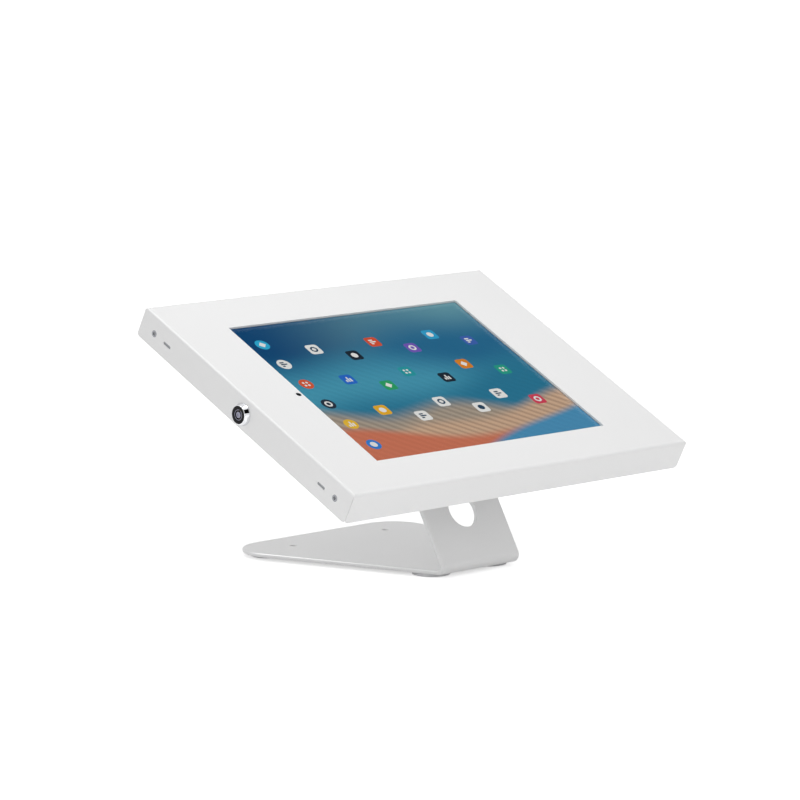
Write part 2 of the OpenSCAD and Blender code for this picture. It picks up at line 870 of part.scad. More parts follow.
module hinge_rail() {
    color(zinc) panel() {
        side_rail();
        both_ends() difference() {
            union() {
                hinge_bar(hinge_pitch / 2, cover_knuckle_l, knuckle_r);
                translate([rail_x, (hinge_pitch - cover_knuckle_l) / 2, hinge_z])
                    cube([rail_t, cover_knuckle_l, cover_d + leaf_t - rail_top_d - rail_h]);
            }
            hinge_bar(hinge_pitch / 2, cover_knuckle_l + 2 * over, pin_r + pin_clear);
        }
    }
}

module rail_screws() {
    countersink = (rail_screw_head_d - rail_screw_d) / 2;
    color(zinc) panel() both_sides() side_row(rail_screw_y) rotate([0, -90, 0]) {
        cylinder(h = rail_screw_l, d = rail_screw_d);
        cylinder(h = countersink, d1 = rail_screw_head_d, d2 = rail_screw_d);
    }
}

// Lock

module lock_body() {
    rim_h = 1;
    front_round = 0.7;
    color("gainsboro") lock_place() rotate_extrude() polygon([
        [plug_bore_r, -barrel_l], [barrel_r, -barrel_l], [barrel_r, 0], [collar_r, 0],
        [collar_r, rim_h], [collar_face_r + front_round, lock_proud - front_round],
        [collar_face_r, lock_proud], [face_ring_r, lock_proud],
        [face_ring_r, lock_proud - face_ring_d], [plug_bore_r, lock_proud - face_ring_d]
    ]);
}

module lock_face_ring() {
    color("black") lock_place() translate([0, 0, lock_proud - face_ring_d]) difference() {
        cylinder(h = face_ring_d, r = face_ring_r);
        translate([0, 0, -over]) cylinder(h = face_ring_d + 2 * over, r = plug_bore_r);
    }
}

module lock_washer() {
    color(zinc) lock_place() translate([0, 0, nut_z]) difference() {
        cylinder(h = lock_washer_t, r = barrel_r + lock_washer_lap);
        translate([0, 0, -over]) cylinder(h = lock_washer_t + 2 * over, r = barrel_r + set_clear);
    }
}

module lock_nut() {
    face_r = nut_face_share * nut_af / 2;
    color(zinc) lock_place() translate([0, 0, nut_z - nut_t]) difference() {
        intersection() {
            rotate(30) cylinder(h = nut_t, d = nut_af / cos(30), $fn = 6);
            cylinder(h = nut_t, r1 = face_r, r2 = face_r + nut_t / tan(nut_chamfer));
        }
        translate([0, 0, -over]) cylinder(h = nut_t + 2 * over, r = barrel_r + lock_fit);
    }
}

// Turning plug with a ring groove for a tubular key and a square stub for the cam
module lock_plug() {
    groove_mid = (key_groove_in + key_groove_out) / 2;
    color("silver") lock_place() difference() {
        union() {
            translate([0, 0, -barrel_l]) cylinder(h = barrel_l + lock_proud, r = plug_r);
            translate([0, 0, cam_z - cam_t / 2 + pass_clear])
                cube([cam_stub, cam_stub, cam_t], center = true);
        }
        translate([0, 0, lock_proud - key_groove_d]) rotate_extrude()
            translate([key_groove_in, 0]) square([key_groove_out - key_groove_in, key_groove_d + over]);
        translate([groove_mid, 0, lock_proud]) cube([plug_r, key_notch, 2 * key_notch], center = true);
        translate([0, 0, cam_z - cam_t]) cylinder(h = cam_t + cam_screw_in + pass_clear, r = cam_screw_r);
    }
}

// Seven pins standing in the key groove
module lock_pins() {
    count = 7;
    color("goldenrod") lock_place() for (i = [0 : count - 1]) {
        rotate(180 + (i - (count - 1) / 2) * 360 / (count + 1))
            translate([(key_groove_in + key_groove_out) / 2, 0, lock_proud - key_groove_d])
                cylinder(h = lock_pin_l, r = lock_pin_r, $fn = 24);
    }
}

// Cam: at rest its arm points away from the face, clear of the keeper
module lock_cam() {
    color(zinc) lock_place() translate([0, 0, cam_z - cam_t]) difference() {
        union() {
            cylinder(h = cam_t, r = cam_hub_r);
            intersection() {
                translate([-cam_reach, -cam_w / 2, 0]) cube([cam_reach, cam_w, cam_t]);
                cylinder(h = cam_t, r = cam_reach);
            }
        }
        cube([cam_stub + set_clear, cam_stub + set_clear, 3 * cam_t], center = true);
    }
}

module cam_screw() {
    color(zinc) lock_place() translate([0, 0, cam_z - cam_t - cam_screw_head_h]) {
        cylinder(h = cam_screw_head_h, r = cam_screw_head_r);
        cylinder(h = cam_screw_head_h + cam_t + cam_screw_in, r = cam_screw_r - lock_fit);
    }
}

stand_plate();
rubber_feet();
stand_screws();
stand_washers();
clinch_nuts();
rear_tray();
lock_keeper();
keeper_rivets();
tray_hinge_front();
tray_hinge_back();
hinge_rivets();
hinge_pin_front();
hinge_pin_back();
corner_holder_front_left();
corner_holder_front_right();
corner_holder_back_left();
corner_holder_back_right();
back_pads();
tablet_shell();
tablet_display();
tablet_glass();
tablet_camera();
front_cover();
window_felt();
lock_rail();
hinge_rail();
rail_screws();
lock_body();
lock_face_ring();
lock_washer();
lock_nut();
lock_plug();
lock_pins();
lock_cam();
cam_screw();
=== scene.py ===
# Looks of a tablet security kiosk stand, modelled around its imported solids.
import json
from math import atan2, cos, pi, radians, sin, tan

import bmesh
import bpy
from mathutils import Matrix, Vector


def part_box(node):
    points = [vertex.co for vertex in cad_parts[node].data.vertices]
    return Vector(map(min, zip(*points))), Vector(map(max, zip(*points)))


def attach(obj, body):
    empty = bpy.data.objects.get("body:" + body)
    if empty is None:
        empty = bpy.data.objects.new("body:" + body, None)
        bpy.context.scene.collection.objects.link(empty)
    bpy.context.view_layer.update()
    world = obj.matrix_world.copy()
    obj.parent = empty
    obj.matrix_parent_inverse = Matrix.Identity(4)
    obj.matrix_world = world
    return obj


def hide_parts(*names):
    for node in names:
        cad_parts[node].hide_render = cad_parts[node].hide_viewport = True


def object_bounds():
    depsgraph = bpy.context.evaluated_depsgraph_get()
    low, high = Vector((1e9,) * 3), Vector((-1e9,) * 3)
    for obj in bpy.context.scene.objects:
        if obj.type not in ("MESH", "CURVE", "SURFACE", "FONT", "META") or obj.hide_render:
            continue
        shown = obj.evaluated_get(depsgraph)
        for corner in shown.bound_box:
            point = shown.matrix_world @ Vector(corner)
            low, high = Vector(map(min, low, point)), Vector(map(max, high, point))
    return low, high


bl_info = {
    "name": "Tablet kiosk stand",
    "version": (1, 0, 0),
    "blender": (4, 5, 0),
    "location": "3D View > Sidebar > Kiosk",
    "description": "Models a locking tablet enclosure on its bent plate stand",
    "category": "Add Mesh",
}

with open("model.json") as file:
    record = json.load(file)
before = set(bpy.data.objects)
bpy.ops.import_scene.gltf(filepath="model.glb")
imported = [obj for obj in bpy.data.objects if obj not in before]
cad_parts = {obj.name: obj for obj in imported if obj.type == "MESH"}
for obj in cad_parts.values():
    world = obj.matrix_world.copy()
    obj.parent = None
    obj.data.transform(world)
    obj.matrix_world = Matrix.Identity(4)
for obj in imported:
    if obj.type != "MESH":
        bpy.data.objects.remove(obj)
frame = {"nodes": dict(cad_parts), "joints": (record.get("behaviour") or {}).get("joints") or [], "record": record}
CAD_BOX = [list(corner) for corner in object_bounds()]

MM = 0.001
# Two places nearer than this are the same place
NEAR = 0.02 * MM
# Overshoot of cutters past the faces that they open
OVER = 1 * MM
UP = Vector((0, 0, 1))
# The corners around a middle, as signs across and along
CORNERS = [(sx, sy) for sx in (-1, 1) for sy in (-1, 1)]
# Edges that turn more than this are rounded, and are shaded sharp if they aren't
SHARP = radians(38)
# Rounding of the edges of the stand's holes and of small pieces
EDGES = {
    "stand_holes": 0.3 * MM, "foot": 0.15 * MM, "stand_screw": 0.12 * MM, "security_screw": 0.06 * MM,
    "collar": 0.08 * MM, "face_ring": 0.12 * MM, "plug": 0.08 * MM, "stub": 0.2 * MM, "shell": 0.25 * MM,
    "display": 0.1 * MM, "camera": 0.05 * MM, "holder": 0.5 * MM, "pad": 0.5 * MM, "felt": 0.12 * MM,
    "seal": 0.12 * MM,
}


def linear(hex_colour):
    """Linear colour of an sRGB hex value."""
    parts = [int(hex_colour[i:i + 2], 16) / 255 for i in (0, 2, 4)]
    return [p / 12.92 if p <= 0.04045 else ((p + 0.055) / 1.055) ** 2.4 for p in parts] + [1]


# Places that the frame gives

JOINTS = {joint["name"]: joint for joint in frame["joints"]}
MOUNTS = {mount["name"]: mount for mount in frame["record"]["mounts"]}
SLOPE = JOINTS["cover_swing"]["axis"]
TILT = atan2(SLOPE[2], SLOPE[1])


def reach(node, space):
    """Lowest and highest corners of a solid, measured in a space of its own."""
    inverse = space.inverted()
    points = [inverse @ vertex.co for vertex in frame["nodes"][node].data.vertices]
    return [Vector([end(p[axis] for p in points) for axis in range(3)]) for end in (min, max)]


def panel_space():
    """The enclosure's space: Y up the slope, Z out of the face, origin in the middle of the face."""
    turn = Matrix.Rotation(TILT, 4, "X")
    low, high = reach("front_cover", turn)
    return turn @ Matrix.Translation(((low.x + high.x) / 2, (low.y + high.y) / 2, high.z))


PANEL = panel_space()
# The lock's space: Z out of the cover along the lock, X towards the face
LOCK = (
    Matrix.Translation(JOINTS["lock_turn"]["pos_m"])
    @ Matrix.Rotation(TILT, 4, "X")
    @ Matrix.Rotation(-pi / 2, 4, "Y")
)
# Height of the side screws, the slots and the lock in the panel's space
SIDE_ROW = (PANEL.inverted() @ LOCK.translation).z
# How far the camera sits from its solid, to stand where the photo shows it, and how much slimmer it is
CAMERA_SHIFT = Vector((1.4, -0.8, 0)) * MM
CAMERA_TRIM = 0.5 * MM


def camera_place():
    """The camera's middle on the cover's face, its radius, its foot and its top."""
    low, high = reach("tablet_camera", PANEL)
    middle = (low + high) / 2 + CAMERA_SHIFT
    middle.z = 0
    return middle, (high.x - low.x) / 2 - CAMERA_TRIM, low.z, high.z


# Sizes and colours that a user would change


def length(name, description, millimetres):
    """A length property whose default is given in millimetres."""
    return bpy.props.FloatProperty(
        name=name, description=description, default=millimetres * MM, unit="LENGTH"
    )


def colour(name, description, hex_colour):
    """A colour property whose default is an sRGB hex value."""
    return bpy.props.FloatVectorProperty(
        name=name, description=description, default=linear(hex_colour), size=4, subtype="COLOR"
    )


class KioskSheetSizes(bpy.types.PropertyGroup):
    """Sizes of the cover and the tray."""

    sheet: length("Sheet", "Thickness of the cover's and the tray's sheet", 1.2)
    bend: length("Bend", "Outside radius of the sheet's bends", 2)
    edge: length("Edge", "Rounding that the coat leaves on cut edges", 0.3)
    window_lap: length("Window lap", "How far the cover laps over the display", 1)
    seam: length("Seam", "Width of the seam at the cover's corners", 0.1)
    seam_top: length("Closed corner", "Depth of closed sheet above a seam", 3)
    toe: length("Toe", "Radius of the flanges' lower corners", 2)
    camera_hole: length("Camera hole", "Radius of the cover's camera hole", 1.8)
    slot_l: length("Slot length", "Length of a tongue slot", 7)
    slot_w: length("Slot width", "Width of a tongue slot", 1.8)
    slot_inset: length("Slot inset", "Distance from a tongue slot to the cover's end", 26.5)
    side_gap: length("Side gap", "Distance from the tray's side flanges to the cover's ends", 20)
    lock_gap: length("Lock gap", "Half width of the tray flange's gap for the lock", 11)
    hinge_room: length("Hinge room", "Room around the knuckles in the sheet", 0.4)
    cable_hole: length("Cable hole", "Radius of the tray's cable hole", 11)
    cable_hole_down: length("Cable hole place", "Distance of that hole below the middle", 47.9)


class KioskStandSizes(bpy.types.PropertyGroup):
    """Sizes of the stand, its screws and its feet."""

    plate: length("Plate", "Thickness of the stand's plate", 3)
    bend: length("Bend", "Outside radius of the stand's bends", 5)
    edge: length("Edge", "Rounding of the plate's outer edges", 1.2)
    upright_w: length("Upright", "Width of the upright", 67)
    lean: bpy.props.FloatProperty(
        name="Lean", description="Lean of the upright back from plumb",
        default=radians(30), subtype="ANGLE",
    )
    back_w: length("Base width", "Width of the base at its back, before rounding", 165)
    corner: length("Base corner", "Radius of the base's back corners", 24)
    flange_corner: length("Flange corner", "Radius of the carrying flange's corners", 8)
    cable_hole: length("Cable hole", "Radius of the cable hole in the upright", 11)
    cable_hole_up: length("Cable hole place", "Height of that hole up the upright", 34.5)
    screw_x: length("Screws across", "Distance between the flange's screws, across", 50)
    screw_y: length("Screws along", "Distance between the flange's screws, along the slope", 44)
    screw_r: length("Screw", "Shank radius of the flange's screws", 2)
    foot_r: length("Foot", "Radius of a rubber foot", 12)
    front_feet: length("Front feet", "Distance between the two front feet", 49)
    foot_round: length("Foot rounding", "Rounding of a foot's lower edge", 0.8)
    foot_dish: length("Foot dish", "Depth of the dished middle of a foot", 0.5)


class KioskLockSizes(bpy.types.PropertyGroup):
    """Sizes of the lock and the security screws."""

    collar: length("Collar", "Radius of the lock's collar at the cover", 7)
    face: length("Face", "Radius of the lock's face", 5.6)
    proud: length("Stand-out", "How far the lock stands out of the cover", 3.6)
    face_edge: length("Face edge", "Bright edge around the black ring", 0.12)
    ring_depth: length("Ring depth", "Depth of the black ring's seat", 0.8)
    bore: length("Bore", "Radius of the collar's bore for the plug", 3.3)
    barrel: length("Barrel", "Radius of the threaded barrel", 4.75)
    barrel_l: length("Barrel length", "Length of the barrel inside the cover", 13)
    thread: length("Thread pitch", "Pitch of the barrel's thread", 1)
    plug: length("Plug", "Radius of the turning plug", 3.25)
    groove_in: length("Key groove inside", "Inner radius of the key groove", 1.9)
    groove_out: length("Key groove outside", "Outer radius of the key groove", 2.9)
    groove_d: length("Key groove depth", "Depth of the key groove", 4)
    notch: length("Key notch", "Width of the key's locating notch", 0.9)
    pin_depth: length("Pin depth", "Depth of the pins' ends below the lock's face", 2)
    screw_head: length("Security screw", "Head radius of a security screw", 2.2)
    screw_shank: length("Security shank", "Shank radius of a security screw", 1.25)
    screw_l: length("Security length", "Length of a security screw", 4.5)
    socket: length("Socket", "Corner radius of a security screw's socket", 1.15)


class KioskTabletSizes(bpy.types.PropertyGroup):
    """Sizes of the tablet, its screen and what holds it."""

    corner: length("Corner", "Radius of the tablet's corners", 9)
    back_round: length("Back rounding", "Rounding of the shell's back edges", 3)
    glass_edge: length("Glass edge", "Rounding of the glass's edges", 0.3)
    ink: length("Border ink", "Thickness of the printed border under the glass", 0.04)
    display_drop: length("Display drop", "Gap between the glass and the display", 0.14)
    lens: length("Lens", "Radius of the camera's clear window", 1.4)
    felt_edge: length("Felt edge", "Distance from the felt to the window", 0.25)
    holder_round: length("Holder rounding", "Rounding of a corner holder's posts", 3)
    holder_gap: length("Holder gap", "Gap between a corner holder and the tablet", 0.3)
    tile: length("Tile", "Width of a tile on the screen", 10)
    tile_corner: length("Tile corner", "Radius of a tile's corners", 2.2)
    button: length("Button", "Radius of a round button on the screen", 5)


class KioskFinishes(bpy.types.PropertyGroup):
    """Colours of the finishes."""

    coat: colour("Coat", "Powder coat of the sheet and the plate", "EEEEEE")
    rubber: colour("Rubber", "Rubber of the feet", "D0D0D2")
    zinc: colour("Zinc", "Zinc plate of the small fittings", "B4B7BC")
    dull_zinc: colour("Dull zinc", "Passivated zinc of the security screws and the rails", "A0A2A6")
    chrome: colour("Chrome", "Chrome plate of the lock", "E2E3E6")
    lacquer: colour("Lacquer", "Black ring on the lock's face", "08080B")
    steel: colour("Steel", "Turned steel of the lock's plug", "8F8F9E")
    brass: colour("Brass", "Brass of the lock's pins", "C8A45C")
    alloy: colour("Alloy", "Anodised aluminium of the tablet", "C6C8CB")
    ink: colour("Ink", "Printed border of the tablet's glass", "F2F2F2")
    holder: colour("Holder", "Moulded corner holders", "55585C")
    foam: colour("Foam", "Foam pads behind the tablet", "2E3336")
    felt: colour("Felt", "Felt around the window", "F0EFEC")


# Modelling by hand


def select_only(piece):
    """Makes a piece the only selected one, and the active one."""
    bpy.ops.object.select_all(action="DESELECT")
    piece.select_set(True)
    bpy.context.view_layer.objects.active = piece


def add(primitive, name, **sizes):
    """Adds a primitive with everything else deselected, its size applied to its mesh."""
    bpy.ops.object.select_all(action="DESELECT")
    getattr(bpy.ops.mesh, f"primitive_{primitive}_add")(**sizes)
    piece = bpy.context.object
    piece.name = name
    bpy.ops.object.transform_apply(location=True, rotation=True, scale=True)
    return piece


def edit(piece):
    """Opens a piece in edit mode."""
    select_only(piece)
    bpy.ops.object.mode_set(mode="EDIT")


def done():
    """Leaves edit mode."""
    bpy.ops.object.mode_set(mode="OBJECT")


def pick(kind, test):
    """Selects the vertices, edges or faces of the open mesh that pass a test."""
    bpy.ops.mesh.select_mode(type=kind)
    bpy.ops.mesh.select_all(action="DESELECT")
    mesh = bpy.context.object.data
    shape = bmesh.from_edit_mesh(mesh)
    for item in {"VERT": shape.verts, "EDGE": shape.edges, "FACE": shape.faces}[kind]:
        if test(item):
            item.select_set(True)
    shape.select_flush_mode()
    bmesh.update_edit_mesh(mesh)


def along(item, axis, place):
    """True if every vertex of an edge or a face lies at a place along an axis."""
    return all(abs(vertex.co[axis] - place) < NEAR for vertex in item.verts)


def modify(piece, kind, **settings):
    """Adds a modifier with its settings and applies it."""
    select_only(piece)
    bpy.ops.object.modifier_add(type=kind)
    modifier = piece.modifiers[-1]
    for name, value in settings.items():
        setattr(modifier, name, value)
    bpy.ops.object.modifier_apply(modifier=modifier.name)


def join(pieces, name):
    """Joins pieces into one."""
    select_only(pieces[0])
    for piece in pieces:
        piece.select_set(True)
    bpy.ops.object.join()
    pieces[0].name = name
    return pieces[0]


def copy(piece, name, space):
    """Copies a piece with a mesh of its own, and places the copy."""
    select_only(piece)
    bpy.ops.object.duplicate(linked=False)
    twin = bpy.context.object
    twin.name = name
    seat(twin, space)
    return twin


def seat(piece, space):
    """Puts a piece that was modelled at the origin in its place, applied to its mesh."""
    select_only(piece)
    piece.matrix_world = space @ piece.matrix_world
    bpy.ops.object.transform_apply(location=True, rotation=True, scale=True)
    if space.determinant() < 0:
        edit(piece)
        bpy.ops.mesh.select_all(action="SELECT")
        bpy.ops.mesh.normals_make_consistent(inside=False)
        done()


def remove(piece):
    """Deletes a piece."""
    select_only(piece)
    bpy.ops.object.delete()


def repeat(blank, name, spaces):
    """Copies a blank to each of its places, removes it and joins the copies into one piece."""
    copies = [copy(blank, name, space) for space in spaces]
    remove(blank)
    return join(copies, name)


def cut(piece, *cutters):
    """Cuts tools out of a piece and removes them."""
    tool = join(list(cutters), "cutter")
    modify(piece, "BOOLEAN", operation="DIFFERENCE", solver="EXACT", object=tool)
    remove(tool)
    if not piece.data.polygons:
        raise RuntimeError(f"cutting left nothing of {piece.name}")


def block(name, low, high):
    """A cutter or blank from its lowest to its highest corner."""
    low, high = Vector(low), Vector(high)
    return add("cube", name, size=1, location=(low + high) / 2, scale=high - low)


def drill(radius, place, axis=UP, depth=20 * MM, sides=64):
    """A cutter for a round hole through a place, along an axis."""
    turn = UP.rotation_difference(Vector(axis)).to_euler()
    return add(
        "cylinder", "drill", vertices=sides, radius=radius, depth=depth, location=place, rotation=turn
    )


def tidy(piece):
    """Merges what cutting left double and dissolves needless edges in flat faces."""
    edit(piece)
    bpy.ops.mesh.select_all(action="SELECT")
    bpy.ops.mesh.remove_doubles(threshold=0.005 * MM)
    bpy.ops.mesh.dissolve_limited(angle_limit=radians(0.5))
    done()


def smooth(piece):
    """Shades curves smooth and keeps flat faces flat."""
    select_only(piece)
    bpy.ops.object.shade_smooth_by_angle(angle=SHARP)
    modify(piece, "WEIGHTED_NORMAL", keep_sharp=True)


def soften(piece, width, segments=2):
    """Rounds a piece's sharp edges and shades it."""
    tidy(piece)
    modify(
        piece, "BEVEL", width=width, segments=segments, limit_method="ANGLE",
        angle_limit=SHARP, miter_outer="MITER_ARC",
    )
    smooth(piece)


def turned(name, profile, steps=64, ring=False):
    """Turns a profile of radius and height about Z. A ring's profile is closed."""
    piece = add("plane", name, size=MM)
    edit(piece)
    bpy.ops.mesh.select_mode(type="VERT")
    bpy.ops.mesh.select_all(action="SELECT")
    bpy.ops.mesh.merge(type="CENTER")
    bpy.ops.transform.translate(value=(profile[0][0], 0, profile[0][1]))
    for here, there in zip(profile, profile[1:]):
        step = (there[0] - here[0], 0, there[1] - here[1])
        bpy.ops.mesh.extrude_vertices_move(TRANSFORM_OT_translate={"value": step})
    if ring:
        pick("VERT", lambda vertex: len(vertex.link_edges) == 1)
        bpy.ops.mesh.edge_face_add()
    bpy.ops.mesh.select_all(action="SELECT")
    bpy.ops.mesh.spin(steps=steps, angle=2 * pi, center=(0, 0, 0), axis=UP)
    bpy.ops.mesh.select_all(action="SELECT")
    bpy.ops.mesh.remove_doubles(threshold=0.001 * MM)
    bpy.ops.mesh.normals_make_consistent(inside=False)
    done()
    return piece


def quarter(middle, radius, start, steps=6):
    """Points of a quarter turn of a profile, from an angle in degrees on."""
    angles = [radians(start + 90 * i / steps) for i in range(steps + 1)]
    return [(middle[0] + radius * cos(a), middle[1] + radius * sin(a)) for a in angles]


def stands_up(edge):
    """True for an edge whose ends are at different heights."""
    return abs(edge.verts[0].co.z - edge.verts[1].co.z) > NEAR


def rounded_plate(name, low, high, corner, segments=10):
    """A plate with round corners seen from above."""
    plate = block(name, low, high)
    edit(plate)
    pick("EDGE", stands_up)
    bpy.ops.mesh.bevel(offset=corner, segments=segments, affect="EDGES", clamp_overlap=False)
    done()
    return plate


def sheet_pan(name, low, high, sheet, bend, opens_up):
    """Folds a sheet pan: a block open on one side, with its closed side's edges bent round."""
    pan = block(name, low, high)
    open_z, closed_z = (high.z, low.z) if opens_up else (low.z, high.z)
    edit(pan)
    pick("FACE", lambda face: along(face, 2, open_z))
    bpy.ops.mesh.delete(type="FACE")
    pick("EDGE", lambda edge: along(edge, 2, closed_z))
    bpy.ops.mesh.bevel(offset=bend, segments=8, affect="EDGES")
    done()
    modify(pan, "SOLIDIFY", thickness=sheet, offset=-1, use_even_offset=True, use_quality_normals=True)
    return pan


def made_finish(finish):
    """The material of a finish, made on its first use."""
    return bpy.data.materials.get(finish.__name__) or finish(finish.__name__)


def dress(piece, body, slot, finish, *nodes):
    """Gives a piece its finish and its body, and hides the solids that it stands for."""
    piece.data.materials.clear()
    piece.data.materials.append(made_finish(finish))
    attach(piece, body)
    if nodes:
        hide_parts(*nodes)


# Finishes

# A wave texture of scale 1 has waves of this length
WAVE = 2 * pi / 20


def add_node(tree, kind, inputs=None, **settings):
    """Adds a node with its settings, and sets or links its inputs by name or number."""
    made = tree.nodes.new("ShaderNode" + kind)
    for name, value in settings.items():
        setattr(made, name, value)
    for name, value in (inputs or {}).items():
        if isinstance(value, bpy.types.NodeSocket):
            tree.links.new(value, made.inputs[name])
        else:
            made.inputs[name].default_value = value
    return made


def start_finish(name, shader_values):
    """Starts a finish: its node tree, its shader and the object's own coordinates."""
    material = bpy.data.materials.new(name)
    material.use_nodes = True
    tree = material.node_tree
    shader = tree.nodes["Principled BSDF"]
    for socket, value in shader_values.items():
        shader.inputs[socket].default_value = value
    place = add_node(tree, "TexCoord").outputs["Object"]
    return material, tree, shader, place


def lead(tree, shader, tone=None, gloss=None, bump=None):
    """Leads a finish's tone, gloss and relief to its shader."""
    ways = ((tone, 2, "Base Color"), (gloss, "Result", "Roughness"), (bump, "Normal", "Normal"))
    for made, output, socket in ways:
        if made:
            tree.links.new(made.outputs[output], shader.inputs[socket])


def shade_of(colour_value, share):
    """A colour darkened or lightened by a share."""
    return [min(1, part * share) for part in colour_value[:3]] + [1]


def finishes():
    """The colours set in the sidebar."""
    return bpy.context.scene.kiosk_finishes


def powder_coated_steel(name):
    # Baked powder on steel sheet: an even satin white, with a faint orange peel in the gloss.
    # The peel is drawn at 1.5 mm and the grain at 0.5 mm, coarser than real, so that they show.
    base = finishes().coat
    material, tree, shader, place = start_finish(name, {"IOR": 1.5})
    peel = add_node(tree, "TexNoise", {"Vector": place, "Scale": 1 / (1.5 * MM), "Detail": 1})
    grain = add_node(tree, "TexNoise", {"Vector": place, "Scale": 1 / (0.5 * MM), "Detail": 2})
    drift = add_node(tree, "TexNoise", {"Vector": place, "Scale": 1 / (40 * MM), "Detail": 1})
    tone = add_node(
        tree, "Mix", {0: grain.outputs["Fac"], 6: shade_of(base, 0.975), 7: shade_of(base, 1.02)},
        data_type="RGBA",
    )
    gloss = add_node(
        tree, "MapRange", {"Value": drift.outputs["Fac"], "To Min": 0.34, "To Max": 0.42}
    )
    height = add_node(
        tree, "Math", {0: grain.outputs["Fac"], 1: 0.3, 2: peel.outputs["Fac"]}, operation="MULTIPLY_ADD"
    )
    bump = add_node(
        tree, "Bump", {"Height": height.outputs[0], "Strength": 0.25, "Distance": 0.03 * MM}
    )
    lead(tree, shader, tone, gloss, bump)
    return material


def zinc_plated_steel(name):
    # Bright zinc on pressed steel: grey metal with soft cloudy patches and fine drawing lines,
    # drawn 0.3 mm apart.
    base = finishes().zinc
    material, tree, shader, place = start_finish(name, {"Metallic": 1})
    cloud = add_node(tree, "TexNoise", {"Vector": place, "Scale": 1 / (4 * MM), "Detail": 3})
    stretch = (1 / (6 * MM), 1 / (0.3 * MM), 1 / (0.3 * MM))
    drawn = add_node(tree, "Mapping", {"Vector": place, "Scale": stretch})
    line = add_node(tree, "TexNoise", {"Vector": drawn.outputs[0], "Scale": 1, "Detail": 2})
    tone = add_node(
        tree, "Mix", {0: cloud.outputs["Fac"], 6: shade_of(base, 0.8), 7: shade_of(base, 1.12)},
        data_type="RGBA",
    )
    gloss = add_node(
        tree, "MapRange", {"Value": line.outputs["Fac"], "To Min": 0.28, "To Max": 0.48}
    )
    bump = add_node(
        tree, "Bump", {"Height": line.outputs["Fac"], "Strength": 0.2, "Distance": 0.02 * MM}
    )
    lead(tree, shader, tone, gloss, bump)
    return material


def passivated_zinc(name):
    # Zinc plate passivated grey: dull mid grey metal with a fine crystal grain, drawn at 0.3 mm.
    base = finishes().dull_zinc
    material, tree, shader, place = start_finish(name, {"Metallic": 1})
    crystal = add_node(tree, "TexNoise", {"Vector": place, "Scale": 1 / (0.3 * MM), "Detail": 2})
    tone = add_node(
        tree, "Mix", {0: crystal.outputs["Fac"], 6: shade_of(base, 0.75), 7: shade_of(base, 1.1)},
        data_type="RGBA",
    )
    gloss = add_node(
        tree, "MapRange", {"Value": crystal.outputs["Fac"], "To Min": 0.42, "To Max": 0.6}
    )
    lead(tree, shader, tone, gloss)
    return material


def polished_chrome(name):
    # Chrome over polished zinc alloy: a clear mirror with only a trace of handling haze.
    material, tree, shader, place = start_finish(name, {"Metallic": 1})
    haze = add_node(tree, "TexNoise", {"Vector": place, "Scale": 1 / (3 * MM), "Detail": 3})
    tone = add_node(
        tree, "Mix",
        {0: haze.outputs["Fac"], 6: shade_of(finishes().chrome, 0.96), 7: finishes().chrome},
        data_type="RGBA",
    )
    gloss = add_node(
        tree, "MapRange", {"Value": haze.outputs["Fac"], "To Min": 0.04, "To Max": 0.1}
    )
    lead(tree, shader, tone, gloss)
    return material


def black_lacquer(name):
    # Stoved matt lacquer on the lock's face: deep black with hardly a sheen, and a slight peel.
    values = {"Specular IOR Level": 0.15, "IOR": 1.5}
    material, tree, shader, place = start_finish(name, values)
    peel = add_node(tree, "TexNoise", {"Vector": place, "Scale": 1 / (0.6 * MM), "Detail": 2})
    tone = add_node(
        tree, "Mix",
        {0: peel.outputs["Fac"], 6: finishes().lacquer, 7: shade_of(finishes().lacquer, 1.8)},
        data_type="RGBA",
    )
    gloss = add_node(
        tree, "MapRange", {"Value": peel.outputs["Fac"], "To Min": 0.4, "To Max": 0.55}
    )
    lead(tree, shader, tone, gloss)
    return material


def turned_steel(name):
    # Steel faced on a lathe: rings of tool marks around the lock's axis, drawn 0.7 mm apart.
    base = finishes().steel
    material, tree, shader, place = start_finish(name, {"Metallic": 1})
    middle = [-part for part in JOINTS["lock_turn"]["pos_m"]]
    on_axis = add_node(tree, "Mapping", {"Vector": place, "Location": middle})
    marks = add_node(
        tree, "TexWave",
        {"Vector": on_axis.outputs[0], "Scale": WAVE / (0.7 * MM), "Distortion": 0.6},
        wave_type="RINGS", rings_direction="X",
    )
    tone = add_node(
        tree, "Mix", {0: marks.outputs["Fac"], 6: shade_of(base, 0.7), 7: shade_of(base, 1.15)},
        data_type="RGBA",
    )
    gloss = add_node(
        tree, "MapRange", {"Value": marks.outputs["Fac"], "To Min": 0.25, "To Max": 0.4}
    )
    lead(tree, shader, tone, gloss)
    return material


def drawn_brass(name):
    # Drawn brass wire: warm metal with a dull, slightly tarnished skin.
    base = finishes().brass
    material, tree, shader, place = start_finish(name, {"Metallic": 1, "Roughness": 0.32})
    skin = add_node(tree, "TexNoise", {"Vector": place, "Scale": 1 / (0.5 * MM), "Detail": 3})
    tone = add_node(
        tree, "Mix", {0: skin.outputs["Fac"], 6: shade_of(base, 0.7), 7: base}, data_type="RGBA"
    )
    lead(tree, shader, tone)
    return material


